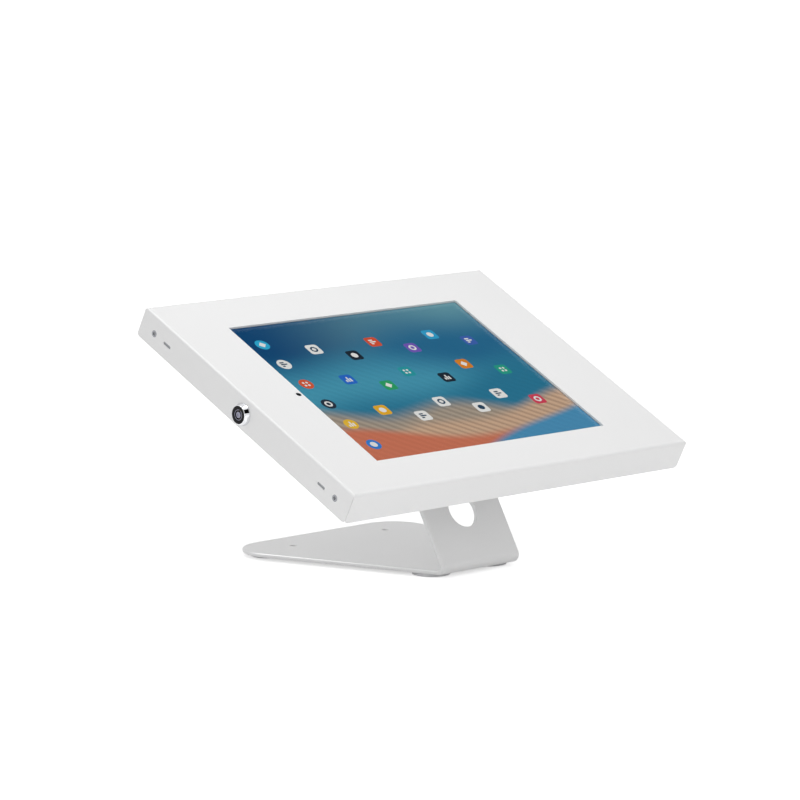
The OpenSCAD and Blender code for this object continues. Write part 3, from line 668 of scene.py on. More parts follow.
def moulded_rubber(name):
    # Moulded grey rubber: matt, with a fine spark-eroded grain from the mould, drawn at 0.6 mm.
    base = finishes().rubber
    material, tree, shader, place = start_finish(name, {"IOR": 1.52})
    grain = add_node(tree, "TexNoise", {"Vector": place, "Scale": 1 / (0.6 * MM), "Detail": 3})
    dust = add_node(tree, "TexNoise", {"Vector": place, "Scale": 1 / (9 * MM), "Detail": 3})
    tone = add_node(
        tree, "Mix", {0: dust.outputs["Fac"], 6: shade_of(base, 0.8), 7: shade_of(base, 1.25)},
        data_type="RGBA",
    )
    gloss = add_node(
        tree, "MapRange", {"Value": grain.outputs["Fac"], "To Min": 0.6, "To Max": 0.85}
    )
    bump = add_node(
        tree, "Bump", {"Height": grain.outputs["Fac"], "Strength": 0.5, "Distance": 0.06 * MM}
    )
    lead(tree, shader, tone, gloss, bump)
    return material


def moulded_holder(name):
    # Injection moulded ABS: mid grey with the even leathery grain of an etched mould.
    base = finishes().holder
    material, tree, shader, place = start_finish(name, {"IOR": 1.53})
    grain = add_node(
        tree, "TexVoronoi", {"Vector": place, "Scale": 1 / (0.9 * MM)}, feature="SMOOTH_F1"
    )
    tone = add_node(
        tree, "Mix", {0: grain.outputs["Distance"], 6: shade_of(base, 0.9), 7: shade_of(base, 1.12)},
        data_type="RGBA",
    )
    gloss = add_node(
        tree, "MapRange", {"Value": grain.outputs["Distance"], "To Min": 0.4, "To Max": 0.58}
    )
    bump = add_node(
        tree, "Bump", {"Height": grain.outputs["Distance"], "Strength": 0.35, "Distance": 0.08 * MM}
    )
    lead(tree, shader, tone, gloss, bump)
    return material


def cellular_foam(name):
    # Skived closed-cell foam: a dry dark face pitted with cut cells about 0.8 mm wide.
    base = finishes().foam
    material, tree, shader, place = start_finish(name, {"Roughness": 0.92, "IOR": 1.4})
    cells = add_node(tree, "TexVoronoi", {"Vector": place, "Scale": 1 / (0.8 * MM)})
    tone = add_node(
        tree, "Mix", {0: cells.outputs["Distance"], 6: shade_of(base, 0.6), 7: shade_of(base, 1.5)},
        data_type="RGBA",
    )
    bump = add_node(
        tree, "Bump", {"Height": cells.outputs["Distance"], "Strength": 0.7, "Distance": 0.3 * MM}
    )
    lead(tree, shader, tone, bump=bump)
    return material


def pressed_felt(name):
    # Pressed polyester felt: soft white with a nap of short crossing fibres, drawn 0.8 mm apart.
    base = finishes().felt
    values = {"Roughness": 0.95, "Sheen Weight": 0.4, "Sheen Roughness": 0.6, "IOR": 1.45}
    material, tree, shader, place = start_finish(name, values)
    nap = add_node(
        tree, "TexNoise",
        {"Vector": place, "Scale": 1 / (0.8 * MM), "Detail": 6, "Roughness": 0.75, "Distortion": 1.5},
    )
    tone = add_node(
        tree, "Mix", {0: nap.outputs["Fac"], 6: shade_of(base, 0.82), 7: base}, data_type="RGBA"
    )
    bump = add_node(
        tree, "Bump", {"Height": nap.outputs["Fac"], "Strength": 0.8, "Distance": 0.15 * MM}
    )
    lead(tree, shader, tone, bump=bump)
    return material


def anodised_aluminium(name):
    # Bead-blasted and anodised aluminium: a silky grey sparkle with no direction, drawn at 0.4 mm.
    base = finishes().alloy
    material, tree, shader, place = start_finish(name, {"Metallic": 1})
    blast = add_node(tree, "TexNoise", {"Vector": place, "Scale": 1 / (0.4 * MM), "Detail": 2})
    tone = add_node(
        tree, "Mix", {0: blast.outputs["Fac"], 6: shade_of(base, 0.92), 7: shade_of(base, 1.06)},
        data_type="RGBA",
    )
    gloss = add_node(
        tree, "MapRange", {"Value": blast.outputs["Fac"], "To Min": 0.32, "To Max": 0.5}
    )
    bump = add_node(
        tree, "Bump", {"Height": blast.outputs["Fac"], "Strength": 0.15, "Distance": 0.02 * MM}
    )
    lead(tree, shader, tone, gloss, bump)
    return material


def coated_glass(name):
    # Toughened glass with an anti-reflex coat: clear, with little glare and a few faint smears.
    # The coat is drawn as a low index, which mirrors as little as it does.
    values = {"Transmission Weight": 1, "IOR": 1.2}
    material, tree, shader, place = start_finish(name, values)
    smear = add_node(tree, "TexNoise", {"Vector": place, "Scale": 1 / (25 * MM), "Detail": 4})
    gloss = add_node(
        tree, "MapRange", {"Value": smear.outputs["Fac"], "To Min": 0.0, "To Max": 0.02}
    )
    lead(tree, shader, gloss=gloss)
    return material


def printed_border(name):
    # Screen-printed ceramic ink on the back of the glass: dense and even, with a fine mesh tooth.
    base = finishes().ink
    material, tree, shader, place = start_finish(name, {"Roughness": 0.5, "IOR": 1.5})
    mesh_tooth = add_node(tree, "TexNoise", {"Vector": place, "Scale": 1 / (0.6 * MM), "Detail": 2})
    tone = add_node(
        tree, "Mix", {0: mesh_tooth.outputs["Fac"], 6: shade_of(base, 0.95), 7: base}, data_type="RGBA"
    )
    lead(tree, shader, tone)
    return material


def lens_glass(name):
    # Moulded camera lens over a black barrel: near black, with a hard clear gloss.
    values = {"Roughness": 0.06, "Coat Weight": 0.6, "Coat Roughness": 0.02, "IOR": 1.5}
    material, tree, shader, place = start_finish(name, values)
    tint = add_node(tree, "TexNoise", {"Vector": place, "Scale": 1 / (1.2 * MM), "Detail": 1})
    tone = add_node(
        tree, "Mix", {0: tint.outputs["Fac"], 6: linear("040406"), 7: linear("0C0D14")},
        data_type="RGBA",
    )
    lead(tree, shader, tone)
    return material


# The screen's picture: bands of colour with wavy upper edges, each laid over the last.
# Colour, height of its edge in millimetres, slope, swell and length of the wave, its start,
# softness of its edge, depth of its ripples
SKY_LEFT, SKY_RIGHT = "134A7A", "6FA6B2"
BANDS = [
    ("2B6F97", 44, 0.22, 9, 150, 0.4, 26, 0.02),
    ("4A9DB8", 16, -0.12, 8, 190, 2.1, 22, 0.03),
    ("2E7C9C", -8, 0.16, 7, 170, 4.4, 16, 0.03),
    ("A99C8C", -31, -0.10, 6, 120, 1.2, 9, 0.16),
    ("CBAA8E", -44, 0.12, 5, 140, 3.3, 6, 0.18),
    ("D27A5E", -57, -0.16, 5, 160, 5.2, 5, 0.04),
    ("4F95BE", -76, 0.34, 4, 180, 0.9, 4, 0.03),
]
# Size of the ripples in the picture, in millimetres
RIPPLE = 4


# The display is bonded to its glass, so it has no gloss of its own
PANEL_DARK = {"Base Color": linear("060708"), "Roughness": 0.3, "Specular IOR Level": 0}


def lit_picture(name):
    # Backlit display panel: it gives off its picture, and is a smooth black sheet when dark.
    material, tree, shader, place = start_finish(name, PANEL_DARK)
    low, high = reach("tablet_display", PANEL)
    corner = (PANEL.inverted().translation - (low + high) / 2) / MM
    flat = add_node(
        tree, "Mapping",
        {"Vector": place, "Location": corner, "Rotation": (-TILT, 0, 0), "Scale": (1 / MM,) * 3},
    )
    axes = add_node(tree, "SeparateXYZ", {0: flat.outputs[0]})
    across, up = axes.outputs["X"], axes.outputs["Y"]
    half = (high.x - low.x) / 2 / MM
    sweep = add_node(
        tree, "MapRange", {"Value": across, "From Min": -half, "From Max": half},
        interpolation_type="SMOOTHSTEP",
    )
    picture = add_node(
        tree, "Mix", {0: sweep.outputs["Result"], 6: linear(SKY_LEFT), 7: linear(SKY_RIGHT)},
        data_type="RGBA",
    ).outputs[2]
    ripples = add_node(
        tree, "TexWave",
        {"Vector": flat.outputs[0], "Scale": WAVE / RIPPLE, "Distortion": 5, "Detail": 2,
         "Detail Scale": 0.12},
        bands_direction="DIAGONAL",
    )
    for shade, level, slope, swell, wave, start, softness, depth in BANDS:
        phase = add_node(
            tree, "Math", {0: across, 1: 2 * pi / wave, 2: start}, operation="MULTIPLY_ADD"
        )
        curve = add_node(tree, "Math", {0: phase.outputs[0]}, operation="SINE")
        edge = add_node(
            tree, "Math", {0: curve.outputs[0], 1: swell, 2: level}, operation="MULTIPLY_ADD"
        )
        line = add_node(
            tree, "Math", {0: across, 1: slope, 2: edge.outputs[0]}, operation="MULTIPLY_ADD"
        )
        under = add_node(tree, "Math", {0: line.outputs[0], 1: up}, operation="SUBTRACT")
        cover = add_node(
            tree, "MapRange", {"Value": under.outputs[0], "From Min": -softness, "From Max": softness},
            interpolation_type="SMOOTHSTEP",
        )
        grain = add_node(
            tree, "Mix",
            {0: ripples.outputs["Fac"], 6: shade_of(linear(shade), 1 - depth),
             7: shade_of(linear(shade), 1 + depth)},
            data_type="RGBA",
        )
        picture = add_node(
            tree, "Mix", {0: cover.outputs["Result"], 6: picture, 7: grain.outputs[2]}, data_type="RGBA"
        ).outputs[2]
    shader.inputs["Emission Strength"].default_value = 1
    tree.links.new(picture, shader.inputs["Emission Color"])
    return material


def lit_pixels(name):
    # The same backlit panel where it shows tiles: each face gives off the colour stored on it, brightened and
    # dimmed in soft patches about 4 mm across as a painted sheen.
    material, tree, shader, place = start_finish(name, PANEL_DARK)
    stored = add_node(tree, "Attribute", attribute_name="lit")
    # Painted sheen: a noise that brightens and dims the glow in soft patches, standing in for reflections on the
    # screen
    painted_sheen = add_node(tree, "TexNoise", {"Vector": place, "Scale": 1 / (4 * MM), "Detail": 1})
    level = add_node(
        tree, "MapRange", {"Value": painted_sheen.outputs["Fac"], "To Min": 0.92, "To Max": 1.04}
    )
    glow = add_node(
        tree, "VectorMath", {0: stored.outputs["Color"], "Scale": level.outputs["Result"]},
        operation="SCALE",
    )
    shader.inputs["Emission Strength"].default_value = 1
    tree.links.new(glow.outputs[0], shader.inputs["Emission Color"])
    return material


def looked_at(tree):
    """One where the camera looks, also by mirrors and through glass, and nought for light."""
    path = add_node(tree, "LightPath")
    seen = path.outputs["Is Camera Ray"]
    for way in ("Is Glossy Ray", "Is Transmission Ray"):
        seen = add_node(tree, "Math", {0: seen, 1: path.outputs[way]}, operation="MAXIMUM").outputs[0]
    return seen


def studio_floor(name):
    # Matt white paper sweep: the camera sees it brightened to white, with the object's soft shadow.
    material, tree, shader, place = start_finish(name, {"Roughness": 0.9, "Specular IOR Level": 0})
    tooth = add_node(tree, "TexNoise", {"Vector": place, "Scale": 1 / (2 * MM), "Detail": 2})
    tone = add_node(
        tree, "Mix", {0: tooth.outputs["Fac"], 6: linear("F4F4F4"), 7: linear("F8F8F8")},
        data_type="RGBA",
    )
    lift = add_node(
        tree, "MapRange", {"Value": looked_at(tree), "To Min": 0, "To Max": FLOOR_LIFT}
    )
    lead(tree, shader, tone)
    shader.inputs["Emission Color"].default_value = linear("FFFFFF")
    tree.links.new(lift.outputs["Result"], shader.inputs["Emission Strength"])
    return material


def black_flock(name):
    # Flocked black card: a dead black nap, drawn at 1 mm, that gives nothing back to a mirror.
    material, tree, shader, place = start_finish(name, {"Roughness": 1, "Specular IOR Level": 0})
    nap = add_node(tree, "TexNoise", {"Vector": place, "Scale": 1 / MM, "Detail": 2})
    tone = add_node(
        tree, "Mix", {0: nap.outputs["Fac"], 6: linear("0A0A0A"), 7: linear("161616")}, data_type="RGBA"
    )
    lead(tree, shader, tone)
    return material


# Stand


class KIOSK_OT_stand(bpy.types.Operator):
    """Bend the stand from one plate: base, upright and carrying flange"""

    bl_idname = "kiosk.stand"
    bl_label = "Bent plate stand"

    def execute(self, context):
        sizes = context.scene.kiosk_stand
        low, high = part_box("stand_plate")
        flange_end = reach("stand_plate", PANEL)[1].y
        flange_top = reach("rear_tray", PANEL)[0].z
        foot = Vector((0, low.y + sizes.bend, low.z + sizes.bend))
        upright = Vector((0, sin(sizes.lean), cos(sizes.lean)))
        slope = Vector((0, cos(TILT), sin(TILT)))
        at_foot = PANEL.inverted() @ foot
        run = (flange_top - sizes.bend - at_foot.z) / cos(TILT + sizes.lean)
        head = foot + run * upright
        flange_l = flange_end - (PANEL.inverted() @ head).y

        plate = self.base(sizes, foot.y, high.y, low.z)
        pick("EDGE", lambda edge: along(edge, 1, foot.y))
        bpy.ops.mesh.spin(steps=16, angle=radians(90) + sizes.lean, center=foot, axis=(1, 0, 0))
        bpy.ops.mesh.extrude_region_move(TRANSFORM_OT_translate={"value": run * upright})
        turn = radians(90) - sizes.lean - TILT
        bpy.ops.mesh.spin(steps=8, angle=turn, center=head, axis=(1, 0, 0))
        bpy.ops.mesh.extrude_region_move(TRANSFORM_OT_translate={"value": flange_l * slope})
        end = head + flange_l * slope
        pick("VERT", lambda vertex: (vertex.co - end).dot(slope) > -NEAR)
        bpy.ops.mesh.bevel(offset=sizes.flange_corner, segments=8, affect="VERTICES")
        bpy.ops.mesh.select_all(action="SELECT")
        bpy.ops.mesh.remove_doubles(threshold=NEAR)
        bpy.ops.mesh.normals_make_consistent(inside=False)
        done()
        base_face = max(plate.data.polygons, key=lambda face: face.area)
        side = 1 if base_face.normal.z > 0 else -1
        modify(plate, "SOLIDIFY", thickness=sizes.plate, offset=side, use_even_offset=True)
        soften(plate, sizes.edge, segments=4)
        cut(plate, *self.holes(context, foot, upright))
        soften(plate, EDGES["stand_holes"])
        dress(plate, "stand", "white_coat", powder_coated_steel, "stand_plate")
        return {"FINISHED"}

    def base(self, sizes, front_y, back_y, under_z):
        """The base's flat outline, left open in edit mode."""
        back_half, front_half = sizes.back_w / 2, sizes.upright_w / 2
        base_l = back_y - front_y
        middle = (0, (front_y + back_y) / 2, under_z)
        plate = add("plane", "bent_stand_plate", size=1, location=middle)
        edit(plate)
        bpy.ops.transform.resize(value=(2 * back_half, base_l, 1), center_override=middle)
        pick("VERT", lambda vertex: vertex.co.y < middle[1])
        bpy.ops.transform.resize(value=(front_half / back_half, 1, 1), center_override=middle)
        pick("VERT", lambda vertex: vertex.co.y > middle[1])
        # A round corner of other than 90 degrees needs its bevel's profile set by its angle
        half_angle = atan2(base_l, back_half - front_half) / 2
        corner_run = sizes.corner / tan(half_angle)
        depth = sizes.corner * (1 / sin(half_angle) - 1) / (2 * corner_run * cos(half_angle))
        bpy.ops.mesh.bevel(
            offset=corner_run, segments=24, affect="VERTICES", profile=(1 - depth) ** 2, clamp_overlap=False
        )
        return plate

    def holes(self, context, foot, upright):
        """Cutters for the cable hole, the counter screws and the flange's screws."""
        sizes = context.scene.kiosk_stand
        bolts = MOUNTS["counter_bolts"]["dims"]
        clearance = 0.25 * MM
        cable_up = sizes.cable_hole_up - sizes.bend * tan(sizes.lean)
        through = Vector((0, cos(sizes.lean), -sin(sizes.lean)))
        cutters = [drill(sizes.cable_hole, foot + cable_up * upright, through)]
        for side in (-1, 1):
            place = (side * bolts["spacing_x_mm"] * MM / 2, 0, 0)
            cutters.append(drill(bolts["hole_r_mm"] * MM, place))
        normal = PANEL.to_3x3() @ UP
        for place in screw_places(sizes):
            cutters.append(drill(sizes.screw_r + clearance, PANEL @ place, normal))
        return cutters


def screw_places(sizes):
    """Places of the flange's screws under the enclosure, in the panel's space."""
    low, high = reach("stand_screws", PANEL)
    middle = (low + high) / 2
    return [
        middle + Vector((sx * sizes.screw_x / 2, sy * sizes.screw_y / 2, 0))
        for sx, sy in CORNERS
    ]


class KIOSK_OT_feet(bpy.types.Operator):
    """Mould the four rubber feet"""

    bl_idname = "kiosk.feet"
    bl_label = "Rubber feet"

    def execute(self, context):
        sizes = context.scene.kiosk_stand
        low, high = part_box("rubber_feet")
        height = high.z - low.z
        radius = sizes.foot_r
        dish_r = 0.62 * radius
        profile = [
            (0, sizes.foot_dish), (dish_r - sizes.foot_dish, sizes.foot_dish), (dish_r, 0),
            *quarter((radius - sizes.foot_round, sizes.foot_round), sizes.foot_round, -90),
            (radius, height), (0, height),
        ]
        foot = turned("foot_blank", profile)
        soften(foot, EDGES["foot"])
        back = (high.x - radius, high.y - radius)
        front = (sizes.front_feet / 2, low.y + radius)
        spaces = [
            Matrix.Translation((side * x, y, low.z)) for x, y in (front, back) for side in (-1, 1)
        ]
        feet = repeat(foot, "rubber_feet_moulded", spaces)
        dress(feet, "stand", "rubber_grey", moulded_rubber, "rubber_feet")
        return {"FINISHED"}


class KIOSK_OT_stand_screws(bpy.types.Operator):
    """Make the socket screws that hold the enclosure to the stand"""

    bl_idname = "kiosk.stand_screws"
    bl_label = "Stand screws"

    def execute(self, context):
        sizes = context.scene.kiosk_stand
        low, high = reach("stand_screws", PANEL)
        head_top = reach("stand_washers", PANEL)[0].z
        head_r = (high.x - low.x - sizes.screw_x) / 2
        head_h = head_top - low.z
        crown = [
            (head_r * (1 - 0.35 * t * t), low.z + head_h * (1 - t)) for t in (0, 0.3, 0.55, 0.75, 0.9, 1)
        ]
        profile = [(0, high.z), (sizes.screw_r, high.z), (sizes.screw_r, head_top), *crown, (0, low.z)]
        screw = turned("screw_blank", profile)
        socket = drill(0.7 * sizes.screw_r, UP * low.z, depth=head_h, sides=6)
        cut(screw, socket)
        soften(screw, EDGES["stand_screw"])
        spaces = [PANEL @ Matrix.Translation((place.x, place.y, 0)) for place in screw_places(sizes)]
        screws = repeat(screw, "stand_socket_screws", spaces)
        dress(screws, "stand", "zinc_plate", zinc_plated_steel, "stand_screws")
        return {"FINISHED"}


# Enclosure


def hinge_notches(x_from, x_to, room):
    """Cutters for the hinges' knuckles in the lower edge of a sheet."""
    notches = []
    depth = 6 * MM
    for end in ("front", "back"):
        pin_low, pin_high = reach(f"hinge_pin_{end}", PANEL)
        top = reach(f"tray_hinge_{end}", PANEL)[1].z + room
        low = (x_from, pin_low.y - room, top - depth)
        notches.append(block("notch", low, (x_to, pin_high.y + room, top)))
    return notches


class KIOSK_OT_cover(bpy.types.Operator):
    """Fold the front cover with its window, seams, slots and lock hole"""

    bl_idname = "kiosk.cover"
    bl_label = "Front cover"

    def execute(self, context):
        sizes = context.scene.kiosk_sheet
        low, high = reach("front_cover", PANEL)
        cover = sheet_pan("folded_front_cover", low, high, sizes.sheet, sizes.bend, opens_up=False)
        cut(cover, *self.seams(sizes, low, high))
        self.round_toes(cover, sizes, low)
        cut(cover, *self.window(sizes), *self.side_holes(context, high), *self.hinge_cuts(sizes, high))
        soften(cover, sizes.edge)
        seat(cover, PANEL)
        dress(cover, "cover", "white_coat", powder_coated_steel, "front_cover")
        return {"FINISHED"}

    def seams(self, sizes, low, high):
        """Thin cutters across the four corners, below the closed sheet."""
        cutters = []
        size = (6 * sizes.sheet, sizes.seam, 2 * (high.z - low.z))
        for sx, sy in CORNERS:
            middle = (sx * high.x, sy * high.y, low.z - sizes.seam_top)
            turn = (0, 0, radians(45 * sx * sy))
            cutters.append(add("cube", "seam", size=1, location=middle, rotation=turn, scale=size))
        return cutters

    def round_toes(self, cover, sizes, low):
        """Rounds the flanges' lower corners at the seams."""

        def toe(edge):
            """True for the slanted edges under a seam's walls."""
            way = edge.verts[0].co - edge.verts[1].co
            return along(edge, 2, low.z) and min(abs(way.x), abs(way.y)) > 0.3 * sizes.sheet

        tidy(cover)
        edit(cover)
        pick("EDGE", toe)
        bpy.ops.mesh.bevel(offset=sizes.toe, segments=8, affect="EDGES", clamp_overlap=False)
        done()

    def window(self, sizes):
        """Cutters for the window and the camera hole."""
        low, high = reach("tablet_display", PANEL)
        lap = Vector((sizes.window_lap, sizes.window_lap, 0))
        opening = block("window", low + lap, (high.x - lap.x, high.y - lap.y, OVER))
        return [opening, drill(sizes.camera_hole, camera_place()[0], depth=4 * MM, sides=32)]

    def side_holes(self, context, high):
        """Cutters for the slots, the countersunk screw holes and the lock."""
        sizes = context.scene.kiosk_sheet
        lock = context.scene.kiosk_lock
        screw_y = reach("rail_screws", PANEL)[1].y - lock.screw_head
        slot_y = high.y - sizes.slot_inset
        clearance, depth = 0.1 * MM, 4 * MM
        cutters = [drill(lock.barrel + clearance, (-high.x, 0, SIDE_ROW), (1, 0, 0), depth)]
        for sx, sy in CORNERS:
            x = sx * high.x
            slot = rounded_plate(
                "slot", (-sizes.slot_w / 2, -sizes.slot_l / 2, -depth / 2),
                (sizes.slot_w / 2, sizes.slot_l / 2, depth / 2), 0.49 * sizes.slot_w, segments=6,
            )
            turn = Matrix.Rotation(pi / 2, 4, "Y")
            seat(slot, Matrix.Translation((x, sy * slot_y, SIDE_ROW)) @ turn)
            sink_d = lock.screw_head - lock.screw_shank
            sink = add(
                "cone", "sink", vertices=48, radius1=lock.screw_shank, radius2=lock.screw_head + OVER,
                depth=sink_d + OVER, location=(0, 0, (OVER - sink_d) / 2),
            )
            out = Matrix.Rotation(sx * pi / 2, 4, "Y")
            seat(sink, Matrix.Translation((x, sy * screw_y, SIDE_ROW)) @ out)
            cutters += [slot, sink]
        return cutters

    def hinge_cuts(self, sizes, high):
        """Cutters for the knuckles in the right hand flange."""
        inside = high.x - sizes.sheet - 0.1 * MM
        return hinge_notches(inside, high.x + OVER, sizes.hinge_room)


class KIOSK_OT_tray(bpy.types.Operator):
    """Fold the rear tray with its cable hole and open flanges"""

    bl_idname = "kiosk.tray"
    bl_label = "Rear tray"

    def execute(self, context):
        sizes = context.scene.kiosk_sheet
        low, high = reach("rear_tray", PANEL)
        cover_high = reach("front_cover", PANEL)[1]
        tray = sheet_pan("folded_rear_tray", low, high, sizes.sheet, sizes.bend, opens_up=True)
        floor = low.z + sizes.sheet
        side_half = cover_high.y - sizes.side_gap
        inside = high.x - sizes.bend
        cutters = [
            block("lock_gap", (low.x - OVER, -sizes.lock_gap, floor), (-inside, sizes.lock_gap, OVER)),
            drill(sizes.cable_hole, (0, -sizes.cable_hole_down, low.z)),
        ]
        for sx, sy in CORNERS:
            xs = sorted((sx * inside, sx * (high.x + OVER)))
            ys = sorted((sy * side_half, sy * (high.y - sizes.sheet)))
            cutters.append(block("side_end", (xs[0], ys[0], floor), (xs[1], ys[1], OVER)))
        knuckle = reach("hinge_pin_front", PANEL)
        axis_x = (knuckle[0].x + knuckle[1].x) / 2
        knuckle_r = reach("tray_hinge_front", PANEL)[1].x - axis_x
        notch_x = axis_x - knuckle_r - sizes.hinge_room
        cutters += hinge_notches(notch_x, high.x + OVER, sizes.hinge_room)
        cut(tray, *cutters)
        soften(tray, sizes.edge)
        seat(tray, PANEL)
        dress(tray, "stand", "white_coat", powder_coated_steel, "rear_tray")
        return {"FINISHED"}


class KIOSK_OT_security_screws(bpy.types.Operator):
    """Make the four countersunk security screws"""

    bl_idname = "kiosk.security_screws"
    bl_label = "Security screws"

    def execute(self, context):
        sizes = context.scene.kiosk_lock
        low, high = reach("rail_screws", PANEL)
        sink = sizes.screw_head - sizes.screw_shank
        rim, lip = sizes.screw_head - 0.05 * MM, 0.1 * MM
        profile = [
            (0, 0), (rim, 0), (rim, -lip), (sizes.screw_shank, -sink),
            (sizes.screw_shank, -sizes.screw_l), (0, -sizes.screw_l),
        ]
        screw = turned("security_blank", profile, steps=48)
        socket_d = 1 * MM
        cut(screw, drill(sizes.socket, (0, 0, 0), depth=2 * socket_d, sides=6))
        post_r, post_top = 0.4 * MM, -0.25 * MM
        profile = [(0, post_top), (post_r, post_top), (post_r, -socket_d), (0, -socket_d)]
        post = turned("socket_post", profile, steps=24)
        soften(post, EDGES["security_screw"])
        soften(screw, EDGES["security_screw"])
        screw = join([screw, post], "security_blank")
        screw_y = high.y - sizes.screw_head
        row_z = (low.z + high.z) / 2
        spaces = []
        for sx, sy in CORNERS:
            out = Matrix.Rotation(sx * pi / 2, 4, "Y")
            spaces.append(PANEL @ Matrix.Translation((sx * high.x, sy * screw_y, row_z)) @ out)
        screws = repeat(screw, "security_screws", spaces)
        dress(screws, "cover", "zinc_plate", passivated_zinc, "rail_screws")
        return {"FINISHED"}


# Lock


class KIOSK_OT_lock(bpy.types.Operator):
    """Turn the lock's collar with its threaded barrel, its black face ring and its plug"""

    bl_idname = "kiosk.lock"
    bl_label = "Tubular lock"

    def execute(self, context):
        sizes = context.scene.kiosk_lock
        self.collar(sizes)
        self.face_ring(sizes)
        self.plug(sizes)
        self.pins(sizes)
        return {"FINISHED"}

    def collar(self, sizes):
        """Tapered collar outside the cover and threaded barrel inside it."""
        rim, nose = 0.8 * MM, 0.25 * MM
        seat_r, seat_z = sizes.face - sizes.face_edge, sizes.proud - sizes.ring_depth
        root = sizes.barrel - 0.5 * sizes.thread
        profile = [(sizes.bore, -sizes.barrel_l)]
        turns = int((sizes.barrel_l - 2 * MM) / sizes.thread)
        for i in range(turns):
            z = -sizes.barrel_l + i * sizes.thread
            profile += [(root, z + 0.15 * sizes.thread), (sizes.barrel, z + 0.5 * sizes.thread)]
            profile += [(sizes.barrel, z + 0.65 * sizes.thread), (root, z + sizes.thread)]
        profile += [(sizes.barrel, -1.6 * MM), (sizes.barrel, 0), (sizes.collar, 0), (sizes.collar, rim)]
        profile += quarter((sizes.face, sizes.proud - nose), nose, 0)
        profile += [(seat_r, sizes.proud), (seat_r, seat_z), (sizes.bore, seat_z)]
        collar = turned("lock_collar", profile, steps=96, ring=True)
        soften(collar, EDGES["collar"])
        seat(collar, LOCK)
        dress(collar, "cover", "lock_chrome", polished_chrome, "lock_body")

    def face_ring(self, sizes):
        """Black ring set into the collar's face, slightly crowned."""
        seat_z = sizes.proud - sizes.ring_depth
        outer, inner = sizes.face - sizes.face_edge - 0.03 * MM, sizes.bore + 0.05 * MM
        middle = (outer + inner) / 2
        profile = [
            (inner, seat_z), (outer, seat_z), (outer, sizes.proud - 0.1 * MM),
            (middle, sizes.proud + 0.08 * MM), (inner, sizes.proud - 0.05 * MM),
        ]
        ring = turned("lock_black_ring", profile, steps=96, ring=True)
        soften(ring, EDGES["face_ring"])
        seat(ring, LOCK)
        dress(ring, "cover", "lock_black", black_lacquer, "lock_face_ring")

    def plug(self, sizes):
        """Turning plug with its key groove, locating notch and square stub."""
        groove_z = sizes.proud - sizes.groove_d
        rim_z, core_z, dimple_z = (sizes.proud - drop * MM for drop in (0.1, 0.2, 0.5))
        dimple_r = 0.9 * MM
        profile = [
            (0, dimple_z), (dimple_r, dimple_z), (dimple_r, core_z), (sizes.groove_in, core_z),
            (sizes.groove_in, groove_z), (sizes.groove_out, groove_z), (sizes.groove_out, rim_z),
            (sizes.plug, rim_z), (sizes.plug, -sizes.barrel_l), (0, -sizes.barrel_l),
        ]
        plug = turned("lock_turned_plug", profile, steps=64)
        inset, half, notch_d = 0.4 * MM, sizes.notch / 2, 0.9 * MM
        notch = block(
            "notch", (sizes.groove_in + inset, -half, sizes.proud - notch_d),
            (sizes.groove_in + sizes.plug + inset, half, sizes.proud + OVER),
        )
        cut(plug, notch)
        soften(plug, EDGES["plug"])
        stub_half, lap = 2.2 * MM, 0.2 * MM
        stub_low = (-stub_half, -stub_half, reach("lock_plug", LOCK)[0].z)
        stub = block("stub", stub_low, (stub_half, stub_half, -sizes.barrel_l + lap))
        soften(stub, EDGES["stub"])
        plug = join([plug, stub], "lock_turned_plug")
        seat(plug, LOCK)
        dress(plug, "lock_core", "lock_steel", turned_steel, "lock_plug")

    def pins(self, sizes):
        """Seven pins deep in the key groove, with a free place at the locating notch."""
        foot, top = sizes.proud - sizes.groove_d, sizes.proud - sizes.pin_depth
        radius, nose = 0.35 * MM, 0.2 * MM
        profile = [(0, foot), (radius, foot), *quarter((radius - nose, top - nose), nose, 0), (0, top)]
        pin = turned("pin_blank", profile, steps=24)
        smooth(pin)
        out = Matrix.Translation(((sizes.groove_in + sizes.groove_out) / 2, 0, 0))
        spaces = [LOCK @ Matrix.Rotation(i * pi / 4, 4, "Z") @ out for i in range(1, 8)]
        pins = repeat(pin, "lock_key_pins", spaces)
        dress(pins, "lock_core", "pin_brass", drawn_brass, "lock_pins")


# Tablet


